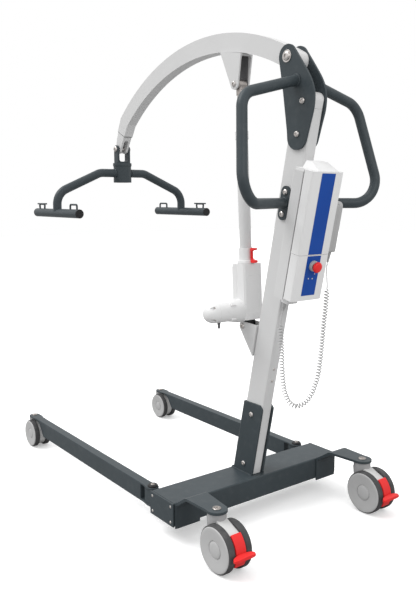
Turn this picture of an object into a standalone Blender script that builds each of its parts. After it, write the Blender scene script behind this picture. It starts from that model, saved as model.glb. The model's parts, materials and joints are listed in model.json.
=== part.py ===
"""Patient lift hoist: a mobile floor hoist on four twin castors.

The mast stands on a crossbar and leans back; a curved boom pivots on its head plates, is
lifted by an electric actuator and carries a two-bar spreader. Both legs spread about pivots
at the crossbar. Metres, +Z up, the legs point along -Y and the hoist's left side is +X.
Design coordinates: x = 0 on the plane of symmetry, y = 0 on the crossbar's front face,
z = 0 on the floor. The whole hoist hangs on one empty that centres its footprint.
"""
import math

import bmesh
import bpy
from mathutils import Matrix, Vector

GAP = 0.0003                    # gap left between touching pieces
CENTRE_Y = 0.26085               # shift that centres the footprint on the origin

# Base
BAR_LENGTH = 0.631
BAR_DEPTH = 0.114
BAR_HEIGHT = 0.067
BAR_BOTTOM = 0.0508
BAR_TOP = BAR_BOTTOM + BAR_HEIGHT
BAR_WALL = 0.003
END_PLATE = 0.005

# Legs
LEG_X = 0.290
LEG_PIVOT_Y = -0.0336
LEG_WIDTH = 0.0295
LEG_BOTTOM = 0.0548
LEG_TOP = 0.1110
LEG_WALL = 0.0028
LEG_TONGUE = 0.006
LEG_BOLT_R = 0.006
FRONT_CASTOR_Y = -0.872

# Castors: wheel radius, half width over both wheels, trail, body half width, neck radius
REAR_CASTOR_X = 0.2825
REAR_CASTOR_Y = 0.2586
REAR_CASTOR = dict(radius=0.0625, half=0.0395, trail=0.0372, body=0.0165, neck=0.0255,
                   seat=0.1423, plate=0.0078, head=0.0115)
FRONT_CASTOR = dict(radius=0.050, half=0.0327, trail=0.0255, body=0.0115, neck=0.0195,
                    seat=0.1045, plate=0.0066, head=0.0095)
STEM_R = 0.006

# Mast
MAST_LEAN = math.radians(12.0)
MAST_FOOT_Y = 0.0274            # where the mast's centre line meets the floor
MAST_HALF_X = 0.0178
MAST_HALF_N = 0.0377
MAST_WALL = 0.003
MAST_BOTTOM_S = 0.1295
MAST_TOP_S = 1.198
MAST_CAP = 0.040
SOCKET_WALL = 0.0055
SOCKET_BOLTS_S = (0.150, 0.3145)
SIDE_BOLT_R = 0.0042
SIDE_BOLT_HEAD_R = 0.0085

# Boom
BOOM_PIVOT = (0.0, 0.2211, 1.3051)
BOOM_HALF_X = 0.0174
BOOM_ARC_CENTRE = (-0.135, 0.640)
BOOM_ARC_R = 0.750
BOOM_HALF_H = 0.0262
BOOM_WALL = 0.003
BOOM_TIP = (0.0, -0.6708, 1.1158)
HEAD_PLATE = 0.006
PIVOT_R = 0.008

# Spreader
HUB_TOP = 1.0660
HUB_BOTTOM = 1.0020
HUB_R = 0.0322
STEM_BORE_R = 0.0125
ARM_R = 0.0148
SPREADER_BAR_X = 0.2635
SPREADER_BAR_Z = 0.887
SPREADER_BAR_LENGTH = 0.338
HOOK_Y = 0.125

# Actuator, along its own axis from the lower pin to the upper pin
ACTUATOR_FOOT = (0.0, 0.048, 0.566)
ACTUATOR_HEAD = (0.0, 0.003, 1.2625)
TUBE_R = 0.0175
ROD_R = 0.010
MOTOR_R = 0.028
MOTOR_S = 0.0465
GEARBOX_LOW = 0.0195
GEARBOX_HIGH = 0.1830
GEARBOX_FRONT = 0.0520
TUBE_TOP = 0.568
EYE_HALF = 0.0150
FORK_HALF_X = 0.0225            # half width of the forks at both ends of the actuator
FORK_WALL = 0.0052

# Push handles
HANDLE_R = 0.014
HANDLE_TOP = (0.015, 0.2551, 1.2427)
HANDLE_UPPER = (0.2082, 0.2587, 1.1914)
HANDLE_LOWER = (0.2561, 0.3202, 0.9252)
FLANGE_S = 0.945
FLANGE_N = -0.0083
FLANGE_BOLT = 0.030

# Control unit, in the mast's frame: s along the mast, n rearward from its centre line
BRACKET_HALF_X = 0.0520
BRACKET_S = (0.700, 1.044)
BRACKET_N = (MAST_HALF_N + GAP, 0.0745)
BRACKET_SHEET = 0.0025
BOX_HALF_X = 0.0566
BOX_INNER_X = 0.0485
BOX_BACK_N = 0.0412
BOX_STEP_N = 0.0795
BOX_EDGE_N = 0.1122
PANEL_HALF_X = 0.0265
PANEL_N = 0.1139
BOX_S = (0.7069, 0.8325)
BATTERY_S = (0.8333, 1.0510)
HUMP_TOP_S = 1.0705
HUMP_HALF_X = 0.035
STOP_S = 0.8043
HANDSET_X = (-0.0872, -0.0573)
HANDSET_N = (0.0630, 0.1050)
HANDSET_S = (0.8330, 0.9700)

# Handset cord
CORD_R = 0.0015
COIL_R = 0.0075
CORD_EXIT = (-0.079, 0.8000, 0.0930)    # x, s, n where the strain relief ends
PLUG_SOCKET = (0.016, 0.6800, 0.0500)   # x, s, n where the plug enters the control box

COLORS = {
    "anthracite": ((0.075, 0.092, 0.100), 0.42, 0.35),
    "light_grey_paint": ((0.62, 0.62, 0.62), 0.38, 0.15),
    "white_plastic": ((0.80, 0.80, 0.80), 0.40, 0.0),
    "grey_plastic": ((0.42, 0.42, 0.42), 0.50, 0.0),
    "wheel_grey": ((0.50, 0.50, 0.50), 0.45, 0.0),
    "black_plastic": ((0.03, 0.03, 0.03), 0.45, 0.0),
    "red_plastic": ((0.60, 0.03, 0.03), 0.38, 0.0),
    "stainless": ((0.62, 0.60, 0.58), 0.25, 1.0),
    "cord_grey": ((0.60, 0.60, 0.60), 0.50, 0.0),
}

for old in list(bpy.data.objects):
    bpy.data.objects.remove(old, do_unlink=True)
parts = bpy.data.collections.new("patient_lift_hoist")
cutters = bpy.data.collections.new("cutters")
bpy.context.scene.collection.children.link(parts)
bpy.context.scene.collection.children.link(cutters)


def make_materials():
    made = {}
    for name, (color, roughness, metallic) in COLORS.items():
        material = bpy.data.materials.new(name)
        material.use_nodes = True
        shader = material.node_tree.nodes["Principled BSDF"]
        shader.inputs["Base Color"].default_value = (*color, 1.0)
        shader.inputs["Roughness"].default_value = roughness
        shader.inputs["Metallic"].default_value = metallic
        made[name] = material
    return made


materials = make_materials()


# ---------------------------------------------------------------- frames

def frame(name, location, parent=None, rotation=(0.0, 0.0, 0.0)):
    """An empty that carries pieces; on a moving piece it sits on the joint's axis."""
    empty = bpy.data.objects.new(name, None)
    empty.empty_display_size = 0.03
    empty.location = location
    empty.rotation_euler = rotation
    empty.parent = parent
    parts.objects.link(empty)
    bpy.context.view_layer.update()
    return empty


def minus(a, b):
    return tuple(p - q for p, q in zip(a, b))


# ---------------------------------------------------------------- shapes

def link(obj, material, parent):
    obj.parent = parent
    if material is None:
        obj.hide_render = True
        obj.display_type = 'WIRE'
        cutters.objects.link(obj)
    else:
        obj.data.materials.clear()
        obj.data.materials.append(materials[material])
        parts.objects.link(obj)
    return obj


def bevel(obj, width, segments=2):
    modifier = obj.modifiers.new("Bevel", 'BEVEL')
    modifier.width = width
    modifier.segments = segments
    modifier.limit_method = 'ANGLE'
    modifier.angle_limit = math.radians(40.0)
    return obj


def smooth(obj):
    obj.data.shade_smooth()
    obj.data.set_sharp_from_angle(angle=math.radians(35.0))
    return obj


def box(name, low, high, material=None, parent=None, round_edge=0.0, segments=2):
    mesh = bpy.data.meshes.new(name)
    bm = bmesh.new()
    bmesh.ops.create_cube(bm, size=1.0)
    bmesh.ops.scale(bm, vec=minus(high, low), verts=bm.verts)
    bm.to_mesh(mesh)
    bm.free()
    obj = link(bpy.data.objects.new(name, mesh), material, parent)
    obj.location = [(a + b) / 2 for a, b in zip(low, high)]
    if round_edge:
        bevel(obj, round_edge, segments)
    return obj


AXIS_TURN = {'X': (0.0, math.pi / 2, 0.0), 'Y': (-math.pi / 2, 0.0, 0.0), 'Z': (0.0, 0.0, 0.0)}


def cylinder(name, radius, length, centre, axis='Z', material=None, parent=None, sides=24):
    mesh = bpy.data.meshes.new(name)
    bm = bmesh.new()
    bmesh.ops.create_cone(bm, cap_ends=True, segments=sides, radius1=radius,
                          radius2=radius, depth=length)
    bm.to_mesh(mesh)
    bm.free()
    obj = link(bpy.data.objects.new(name, mesh), material, parent)
    obj.location = centre
    obj.rotation_euler = AXIS_TURN[axis]
    return smooth(obj)


def turned(name, profile, centre, axis='Z', material=None, parent=None, sides=24):
    """A turned piece; profile is (radius, height) from the top down its outer side."""
    mesh = bpy.data.meshes.new(name)
    verts = [(radius, 0.0, height) for radius, height in profile]
    closed = profile[0] == profile[-1]
    if closed:
        verts.pop()
    edges = [(i, i + 1) for i in range(len(verts) - 1)]
    if closed:
        edges.append((len(verts) - 1, 0))
    mesh.from_pydata(verts, edges, [])
    obj = link(bpy.data.objects.new(name, mesh), material, parent)
    obj.location = centre
    obj.rotation_euler = AXIS_TURN[axis]
    screw = obj.modifiers.new("Turn", 'SCREW')
    screw.steps = sides
    screw.render_steps = sides
    screw.use_merge_vertices = True
    screw.merge_threshold = 0.0001
    screw.use_smooth_shade = True
    return obj


def from_curve(curve_object, material, parent):
    """Turn an evaluated curve into a welded mesh object at the same place."""
    bpy.context.scene.collection.objects.link(curve_object)
    curve_object.parent = parent
    bpy.context.view_layer.update()
    depsgraph = bpy.context.evaluated_depsgraph_get()
    mesh = bpy.data.meshes.new_from_object(curve_object.evaluated_get(depsgraph))
    bm = bmesh.new()
    bm.from_mesh(mesh)
    bmesh.ops.remove_doubles(bm, verts=bm.verts, dist=0.00001)
    bmesh.ops.recalc_face_normals(bm, faces=bm.faces)
    bm.to_mesh(mesh)
    bm.free()
    name = curve_object.name
    location = curve_object.location.copy()
    rotation = curve_object.rotation_euler.copy()
    bpy.data.objects.remove(curve_object, do_unlink=True)
    obj = link(bpy.data.objects.new(name, mesh), material, parent)
    obj.name = name
    obj.location = location
    obj.rotation_euler = rotation
    return obj


PLANE_TURN = {'XY': (0.0, 0.0, 0.0), 'YZ': (math.pi / 2, 0.0, math.pi / 2),
              'XZ': (math.pi / 2, 0.0, 0.0)}


def prism(name, outline, plane, low, high, material=None, parent=None, round_edge=0.0,
          segments=2):
    """A flat outline in a plane, made solid from low to high along the third axis."""
    curve = bpy.data.curves.new(name, 'CURVE')
    curve.dimensions = '2D'
    curve.fill_mode = 'BOTH'
    curve.extrude = (high - low) / 2
    spline = curve.splines.new('POLY')
    spline.points.add(len(outline) - 1)
    for point, (u, v) in zip(spline.points, outline):
        point.co = (u, v, 0.0, 1.0)
    spline.use_cyclic_u = True
    obj = bpy.data.objects.new(name, curve)
    middle = (low + high) / 2
    obj.location = {'XY': (0, 0, middle), 'YZ': (middle, 0, 0), 'XZ': (0, middle, 0)}[plane]
    obj.rotation_euler = PLANE_TURN[plane]
    obj = from_curve(obj, material, parent)
    if round_edge:
        bevel(obj, round_edge, segments)
    return obj


def corner_arc(before, corner, after, radius, steps):
    """Points of the arc of a radius that rounds the corner of a path."""
    corner = Vector(corner)
    to_before = (Vector(before) - corner).normalized()
    to_after = (Vector(after) - corner).normalized()
    half = to_before.angle(to_after) / 2
    reach = radius / math.tan(half)
    centre = corner + (to_before + to_after).normalized() * (radius / math.sin(half))
    start = corner + to_before * reach - centre
    end = corner + to_after * reach - centre
    sweep = start.angle(end)
    points = []
    for i in range(steps + 1):
        t = i / steps
        mixed = start * math.sin((1 - t) * sweep) + end * math.sin(t * sweep)
        points.append(centre + mixed / math.sin(sweep))
    return points


def rounded_path(points, radii, steps=6):
    """An open path with rounded inner corners; radii has one value per inner corner."""
    path = [Vector(points[0])]
    for i, radius in enumerate(radii, start=1):
        path += corner_arc(points[i - 1], points[i], points[i + 1], radius, steps)
    path.append(Vector(points[-1]))
    return path


def rounded_outline(points, radii, steps=4):
    """A closed flat outline with rounded corners; a radius of 0 keeps a corner sharp."""
    outline = []
    count = len(points)
    for i, radius in enumerate(radii):
        corner = (*points[i], 0.0)
        if radius == 0:
            outline.append(points[i])
            continue
        before = (*points[i - 1], 0.0)
        after = (*points[(i + 1) % count], 0.0)
        outline += [(p.x, p.y) for p in corner_arc(before, corner, after, radius, steps)]
    return outline


def arc(centre, radius, start, end, steps):
    """Points on a flat arc, angles in degrees."""
    points = []
    for i in range(steps + 1):
        angle = math.radians(start + (end - start) * i / steps)
        points.append((centre[0] + radius * math.cos(angle), centre[1] + radius * math.sin(angle)))
    return points


def tube(name, path, radius, material=None, parent=None, resolution=3):
    curve = bpy.data.curves.new(name, 'CURVE')
    curve.dimensions = '3D'
    curve.bevel_depth = radius
    curve.bevel_resolution = resolution
    curve.use_fill_caps = True
    spline = curve.splines.new('POLY')
    spline.points.add(len(path) - 1)
    for point, place in zip(spline.points, path):
        point.co = (*place, 1.0)
    obj = from_curve(bpy.data.objects.new(name, curve), material, parent)
    return smooth(obj)


def boolean(obj, other, operation='DIFFERENCE'):
    modifier = obj.modifiers.new(operation.title(), 'BOOLEAN')
    modifier.operation = operation
    modifier.solver = 'EXACT'
    modifier.object = other
    return obj


def drill(obj, radius, centre, axis, parent, length=0.2, sides=12):
    """Cut a round hole through a piece."""
    hole = cylinder(obj.name + "_hole", radius, length, centre, axis, None, parent, sides)
    return boolean(obj, hole)


def through_bolt(name, half_grip, centre, parent, shaft=SIDE_BOLT_R, head=SIDE_BOLT_HEAD_R,
                 thick=0.005):
    """A bolt along X with a domed head on both ends; half_grip is half the clamped width."""
    inner = half_grip + GAP
    outer = inner + thick
    dome = [(0.0, outer), (head * 0.8, outer - thick * 0.25), (head, inner), (shaft, inner)]
    profile = dome + [(r, -h) for r, h in reversed(dome)]
    return turned(name, profile, centre, 'X', "stainless", parent, 16)


# ---------------------------------------------------------------- base

def build_base(origin):
    """Crossbar tube, its end plates, the leg hinge blocks and the rear castor brackets."""
    bar = box("base_crossbar", (-BAR_LENGTH / 2, 0, BAR_BOTTOM), (BAR_LENGTH / 2, BAR_DEPTH, BAR_TOP),
              "anthracite", origin, 0.004)
    boolean(bar, box("crossbar_bore", (-0.4, BAR_WALL, BAR_BOTTOM + BAR_WALL),
                     (0.4, BAR_DEPTH - BAR_WALL, BAR_TOP - BAR_WALL), None, origin))
    for side, sign in (("left", 1), ("right", -1)):
        inner = sign * (BAR_LENGTH / 2 + GAP)
        outer = inner + sign * END_PLATE
        box("crossbar_end_plate_" + side, (min(inner, outer), 0, BAR_BOTTOM),
            (max(inner, outer), BAR_DEPTH, BAR_TOP), "anthracite", origin, 0.0015, 1)
        build_hinge_block(side, sign, origin)
        build_castor_bracket(side, sign, origin)


def build_hinge_block(side, sign, origin):
    """Solid block on the crossbar's front face that the leg's tongues straddle."""
    half = 0.0145
    outline = rounded_outline([(-half, -GAP), (-half, -0.061), (half, -0.061), (half, -GAP)],
                              (0, 0.008, 0.008, 0))
    outline = [(sign * LEG_X + u, v) for u, v in outline]
    low = LEG_BOTTOM + LEG_TONGUE + GAP
    high = LEG_TOP - LEG_TONGUE - GAP
    block = prism("leg_hinge_block_" + side, outline, 'XY', low, high, "anthracite", origin)
    drill(block, LEG_BOLT_R + 0.0004, (sign * LEG_X, LEG_PIVOT_Y, LEG_TOP), 'Z', origin)


def build_castor_bracket(side, sign, origin):
    """Folded plate: a foot on the crossbar's rear face and an arm out to the castor."""
    back = BAR_DEPTH + GAP
    top = REAR_CASTOR["seat"] + REAR_CASTOR["plate"]
    plate = REAR_CASTOR["plate"]
    end = REAR_CASTOR_Y + 0.030
    side_view = [(back, 0.0455), (back + 0.004, 0.0455), (back + 0.004, 0.1105), (0.165, top - plate),
                 (end, top - plate), (end, top), (0.160, top), (back, BAR_TOP)]
    name = "rear_castor_bracket_" + side
    bracket = prism(name, side_view, 'YZ', sign * 0.27 - 0.06, sign * 0.27 + 0.06, "anthracite",
                    origin)
    inner = 0.2280
    outer = 0.3150
    end_arc = arc((REAR_CASTOR_X, REAR_CASTOR_Y), 0.0285, -20, 180, 14)
    plan = [(outer, BAR_DEPTH - 0.01)] + end_arc + [(inner + 0.015, 0.170), (inner, BAR_DEPTH - 0.01)]
    plan = [(sign * u, v) for u, v in plan]
    boolean(bracket, prism(name + "_plan", plan, 'XY', 0.03, 0.18, None, origin), 'INTERSECT')
    drill(bracket, STEM_R + 0.0004, (sign * REAR_CASTOR_X, REAR_CASTOR_Y, top), 'Z', origin, 0.05)


# ---------------------------------------------------------------- castors

def build_castor(name, place, size, parent, pedal=False):
    """Twin-wheel castor: body with swivel neck and stem, and a wheel pair on one axle."""
    radius = size["radius"]
    trail = size["trail"]
    swivel = frame(name + "_swivel_axis", place, parent)
    body_r = radius - 0.0065
    seat = size["seat"] - 0.0008
    neck = size["neck"]
    neck_low = 2 * radius + 0.0008
    round_part = arc((trail, radius), body_r, -200, 52, 18)
    outline = round_part + [(neck * 0.86, neck_low + 0.001), (-neck * 0.86, neck_low + 0.001)]
    body = prism(name + "_body", outline, 'YZ', -size["body"], size["body"], "wheel_grey", swivel)
    head = size["head"]
    top = size["seat"] + size["plate"] + 0.0006
    stem = [(0.0, top + 0.0045), (head * 0.8, top + 0.004), (head, top),
            (STEM_R, top), (STEM_R, seat), (neck, seat), (neck, neck_low), (0.0, neck_low)]
    boolean(body, turned(name + "_neck", stem, (0, 0, 0), 'Z', None, swivel, 20), 'UNION')
    axle_r = radius * 0.12
    drill(body, axle_r + 0.0006, (0, trail, radius), 'X', swivel, 0.1)
    axle = frame(name + "_axle_axis", (0, trail, radius), swivel)
    half = size["half"]
    inner = size["body"] + 0.0008
    edge = radius * 0.05
    rim = [(0.0, half), (radius * 0.90, half - 0.001), (radius, half - 0.001 - edge),
           (radius, inner + edge), (radius * 0.94, inner), (axle_r, inner)]
    turned(name + "_wheels", rim + [(r, -h) for r, h in reversed(rim)], (0, 0, 0), 'X',
           "wheel_grey", axle, 28)
    if pedal:
        build_pedal(name + "_brake_pedal", radius, body_r, size["body"], axle)
    return swivel


def build_pedal(name, radius, body_r, half, axle):
    """Brake pedal: a strap round the castor body's rear with a foot bar across it."""
    strap = arc((0, 0), radius + 0.0008, -30, 52, 10) + arc((0, 0), body_r + 0.0009, 52, -30, 10)
    pedal = prism(name, strap, 'YZ', -half + 0.0006, half - 0.0006, "red_plastic", axle)
    bar_y = radius + 0.0085
    section = rounded_outline([(bar_y - 0.007, -0.0045), (bar_y + 0.008, -0.0045),
                               (bar_y + 0.008, 0.0045), (bar_y - 0.007, 0.0055)],
                              (0.002, 0.004, 0.004, 0.002), 2)
    bar = prism(name + "_bar", section, 'YZ', -0.034, 0.034, None, axle, 0.002, 1)
    boolean(pedal, bar, 'UNION')
    link_strap = box(name + "_root", (-half + 0.002, body_r + 0.003, -0.004),
                     (half - 0.002, bar_y, 0.004), None, axle)
    boolean(pedal, link_strap, 'UNION')


# ---------------------------------------------------------------- legs

def build_leg(side, sign, origin):
    """Rectangular leg: forked at the rear pivot, cut back over its castor at the front."""
    pivot = frame("leg_" + side + "_axis", (sign * LEG_X, LEG_PIVOT_Y, 0), origin)
    castor_y = FRONT_CASTOR_Y - LEG_PIVOT_Y
    under = FRONT_CASTOR["seat"]
    curve = [(-0.7880, under), (-0.7700, under - 0.006), (-0.7560, under - 0.019),
             (-0.7450, under - 0.034), (-0.7330, LEG_BOTTOM)]
    side_view = [(0.018, LEG_TOP), (castor_y - 0.022, LEG_TOP), (castor_y - 0.022, under)] + curve
    side_view += [(0.018, LEG_BOTTOM), (0.018, LEG_BOTTOM + LEG_TONGUE),
                  (-0.0444, LEG_BOTTOM + LEG_TONGUE), (-0.0444, LEG_TOP - LEG_TONGUE),
                  (0.018, LEG_TOP - LEG_TONGUE)]
    name = "leg_" + side
    leg = prism(name, side_view, 'YZ', -0.02, 0.02, "anthracite", pivot)
    half = LEG_WIDTH / 2
    rear = arc((0, 0), 0.0175, 0, 180, 10)
    front = arc((0, castor_y), 0.0195, 180, 360, 10)
    plan = rear + [(-0.0175, -0.012), (-half, -0.030), (-half, castor_y + 0.045),
                   (-0.0195, castor_y + 0.030)]
    plan += front + [(0.0195, castor_y + 0.030), (half, castor_y + 0.045), (half, -0.030),
                     (0.0175, -0.012)]
    boolean(leg, prism(name + "_plan", plan, 'XY', 0.03, 0.14, None, pivot), 'INTERSECT')
    bore = box(name + "_bore", (-half + LEG_WALL, -0.66, LEG_BOTTOM + LEG_WALL),
               (half - LEG_WALL, -0.04, LEG_TOP - LEG_WALL), None, pivot)
    boolean(leg, bore)
    drill(leg, LEG_BOLT_R + 0.0004, (0, 0, LEG_TOP), 'Z', pivot)
    drill(leg, STEM_R + 0.0004, (0, castor_y, LEG_TOP), 'Z', pivot, 0.05)
    cap = LEG_TOP + GAP
    nut = LEG_BOTTOM - GAP
    bolt = [(0.0, cap + 0.0095), (0.0085, cap + 0.009), (0.0130, cap + 0.005), (0.0135, cap),
            (LEG_BOLT_R, cap), (LEG_BOLT_R, nut), (0.0105, nut), (0.0105, nut - 0.008),
            (0.0, nut - 0.008)]
    turned("leg_pivot_bolt_" + side, bolt, (0, 0, 0), 'Z', "black_plastic", pivot, 18)
    build_castor("front_castor_" + side, (0, castor_y, 0), FRONT_CASTOR, pivot)


# ---------------------------------------------------------------- mast

def build_mast(origin, mast):
    """Mast tube with its cap, socket, head plates and the bolts through them."""
    column = box("mast_tube", (-MAST_HALF_X, -MAST_HALF_N, MAST_BOTTOM_S),
                 (MAST_HALF_X, MAST_HALF_N, MAST_TOP_S), "light_grey_paint", mast, 0.005)
    boolean(column, box("mast_bore", (-MAST_HALF_X + MAST_WALL, -MAST_HALF_N + MAST_WALL, 0.0),
                        (MAST_HALF_X - MAST_WALL, MAST_HALF_N - MAST_WALL, 1.3), None, mast))
    cap_low = MAST_TOP_S + GAP
    cap_outline = rounded_outline([(-MAST_HALF_N, cap_low), (MAST_HALF_N, cap_low),
                                   (MAST_HALF_N, MAST_TOP_S + MAST_CAP),
                                   (-MAST_HALF_N, MAST_TOP_S + MAST_CAP)], (0, 0, 0.022, 0.010))
    cap = prism("mast_cap", cap_outline, 'YZ', -MAST_HALF_X, MAST_HALF_X, "light_grey_paint", mast,
                0.003, 1)
    for s in SOCKET_BOLTS_S:
        drill(column, SIDE_BOLT_R + 0.0003, (0, 0, s), 'X', mast)
    head_bolts = {"upper": (0.0010, 1.2128), "lower": (0.0, 1.1287)}
    drill(cap, SIDE_BOLT_R + 0.0003, (0, *head_bolts["upper"]), 'X', mast)
    drill(column, SIDE_BOLT_R + 0.0003, (0, *head_bolts["lower"]), 'X', mast)
    flange_holes = [(0, FLANGE_N, FLANGE_S + step) for step in (-FLANGE_BOLT, FLANGE_BOLT)]
    for place in flange_holes:
        drill(column, 0.0035, place, 'X', mast, sides=8)
    build_socket(origin, mast)
    build_head_plates(origin, mast, head_bolts)


def mast_front(z):
    """Where the mast's front face stands at a height."""
    return MAST_FOOT_Y + z * math.tan(MAST_LEAN) - MAST_HALF_N / math.cos(MAST_LEAN)


def build_socket(origin, mast):
    """Channel standing on the crossbar that wraps the mast's front and sides."""
    half = MAST_HALF_X + GAP + SOCKET_WALL
    low = BAR_TOP + GAP
    shift = (SOCKET_WALL + GAP) / math.cos(MAST_LEAN)
    corners = [(mast_front(low) - shift, low), (0.0960, low), (0.1395, 0.3300),
               (0.1280, 0.3420), (mast_front(0.3420) - shift, 0.3420)]
    outline = rounded_outline(corners, (0, 0, 0.006, 0.006, 0.004), 3)
    socket = prism("mast_socket", outline, 'YZ', -half, half, "anthracite", origin)
    room = box("mast_socket_room", (-MAST_HALF_X - GAP, -MAST_HALF_N - GAP, 0.0),
               (MAST_HALF_X + GAP, 0.15, 0.6), None, mast)
    boolean(socket, room)
    for label, s in zip(("lower", "upper"), SOCKET_BOLTS_S):
        drill(socket, SIDE_BOLT_R + 0.0003, (0, 0, s), 'X', mast)
        through_bolt("mast_socket_bolt_" + label, half, (0, 0, s), mast)


def build_head_plates(origin, mast, bolts):
    """Two teardrop plates that carry the boom's pivot in front of the mast's top."""
    pivot = BOOM_PIVOT[1:]
    outline = arc(pivot, 0.0305, 35, 190, 12)
    outline += [(0.2080, 1.2150), (0.2245, 1.1150)]
    outline += arc((0.2610, 1.0985), 0.0350, 190, 345, 12)
    outline += [(0.3200, 1.1660), (0.3205, 1.2060), (0.3080, 1.2380), (0.2850, 1.2720)]
    inner = MAST_HALF_X + GAP
    outer = inner + HEAD_PLATE
    for side, low, high in (("left", inner, outer), ("right", -outer, -inner)):
        plate = prism("mast_head_plate_" + side, outline, 'YZ', low, high, "anthracite", origin,
                      0.001, 1)
        drill(plate, PIVOT_R + 0.0003, BOOM_PIVOT, 'X', origin, sides=16)
        for n, s in bolts.values():
            drill(plate, SIDE_BOLT_R + 0.0003, (0, n, s), 'X', mast)
    for label, (n, s) in bolts.items():
        through_bolt("mast_head_bolt_" + label, outer, (0, n, s), mast)
    through_bolt("boom_pivot_bolt", outer, BOOM_PIVOT, origin, PIVOT_R, 0.0165, 0.007)


def build_handle(side, sign, origin, mast):
    """Bent push handle, welded to a head plate and flanged to the mast's side."""
    n_offset = FLANGE_N * math.cos(MAST_LEAN)
    end_y = MAST_FOOT_Y + FLANGE_S * math.sin(MAST_LEAN) + n_offset
    end_z = FLANGE_S * math.cos(MAST_LEAN) - FLANGE_N * math.sin(MAST_LEAN)
    path = rounded_path([HANDLE_TOP, HANDLE_UPPER, HANDLE_LOWER, (0.012, end_y - 0.003, end_z)],
                        (0.055, 0.066), 6)
    path = [(sign * p.x, p.y, p.z) for p in path]
    name = "push_handle_" + side
    handle = tube(name, path, HANDLE_R, "anthracite", origin, 3)
    plate_face = MAST_HALF_X + GAP + HEAD_PLATE + GAP
    mast_face = MAST_HALF_X + GAP
    for low, high, face in ((1.10, 1.35, plate_face), (0.80, 1.05, mast_face + 0.002)):
        ends = sorted((sign * face, -sign * 0.05))
        trim = box(name + "_trim", (ends[0], 0.1, low), (ends[1], 0.4, high), None, origin)
        boolean(handle, trim)
    reach = FLANGE_BOLT
    ends = arc((FLANGE_N, FLANGE_S + reach), 0.0165, 0, 180, 8)
    ends += arc((FLANGE_N, FLANGE_S - reach), 0.0165, 180, 360, 8)
    lows = sorted((sign * mast_face, sign * (mast_face + 0.005)))
    flange = prism(name + "_flange", ends, 'YZ', lows[0], lows[1], None, mast)
    boolean(handle, flange, 'UNION')
    for step in (-reach, reach):
        drill(handle, 0.0035, (0, FLANGE_N, FLANGE_S + step), 'X', mast, sides=8)


# ---------------------------------------------------------------- boom

def build_boom(origin):
    """Curved rectangular boom with its tip lug and actuator bracket, on the boom's axis."""
    axis = frame("boom_axis", BOOM_PIVOT, origin)
    _, py, pz = BOOM_PIVOT

    def local(points):
        return [(u - py, v - pz) for u, v in points]

    def boom_outline(half, tip_shift):
        top = arc(BOOM_ARC_CENTRE, BOOM_ARC_R + half, 62.6, 131.2, 20)
        low = arc(BOOM_ARC_CENTRE, BOOM_ARC_R - half, 130.2, 60.6, 20)
        nose = [(-0.6690 - tip_shift, 1.1793 - tip_shift * 2), (-0.6243 - tip_shift, 1.1578 - tip_shift * 2)]
        return top + nose + low

    outline = boom_outline(BOOM_HALF_H, 0.0)
    boom = prism("boom_arm", local(outline), 'YZ', -BOOM_HALF_X, BOOM_HALF_X, "light_grey_paint", axis,
                 0.004)
    hollow = arc(BOOM_ARC_CENTRE, BOOM_ARC_R + BOOM_HALF_H - BOOM_WALL, 66, 128, 14)
    hollow += [(-0.6900, 1.1250), (-0.6500, 1.1050)]
    hollow += arc(BOOM_ARC_CENTRE, BOOM_ARC_R - BOOM_HALF_H + BOOM_WALL, 128, 66, 14)
    inside = prism("boom_bore", local(hollow), 'YZ', -BOOM_HALF_X + BOOM_WALL,
                   BOOM_HALF_X - BOOM_WALL, None, axis)
    boolean(boom, inside)
    drill(boom, PIVOT_R + 0.0005, (0, 0, 0), 'X', axis, sides=16)
    build_tip_lug(axis, local)
    build_boom_bracket(axis, local)
    return axis


def build_tip_lug(axis, local):
    """Lug welded under the boom's mitred end that the spreader hangs from."""
    _, ty, tz = BOOM_TIP
    outline = [(-0.6243, 1.1573), (-0.6686, 1.1788), (-0.6800, 1.1520)]
    outline += arc((ty, tz), 0.0160, 185, 345, 10)
    lug = prism("boom_tip_lug", local(outline), 'YZ', -BOOM_HALF_X, BOOM_HALF_X, "light_grey_paint", axis,
                0.0025, 1)
    drill(lug, 0.0064, minus(BOOM_TIP, BOOM_PIVOT), 'X', axis)


def build_boom_bracket(axis, local):
    """Two tapering cheeks under the boom with a web between them for the actuator's eye."""
    hy, hz = ACTUATOR_HEAD[1:]
    reach = BOOM_ARC_R - BOOM_HALF_H - 3 * GAP
    top = arc(BOOM_ARC_CENTRE, reach, 76.7, 84.2, 5)
    outline = top + arc((hy, hz), 0.0160, 195, 345, 8)
    bracket = prism("boom_actuator_bracket", local(outline), 'YZ', -FORK_HALF_X, FORK_HALF_X,
                    "light_grey_paint", axis)
    inside = FORK_HALF_X - FORK_WALL
    slot = arc(BOOM_ARC_CENTRE, reach - 0.006, 74, 88, 8) + [(-0.10, 1.22), (0.08, 1.22)]
    boolean(bracket, prism("boom_bracket_slot", local(slot), 'YZ', -inside, inside, None, axis))
    drill(bracket, 0.0055, minus(ACTUATOR_HEAD, BOOM_PIVOT), 'X', axis)


# ---------------------------------------------------------------- spreader

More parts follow.
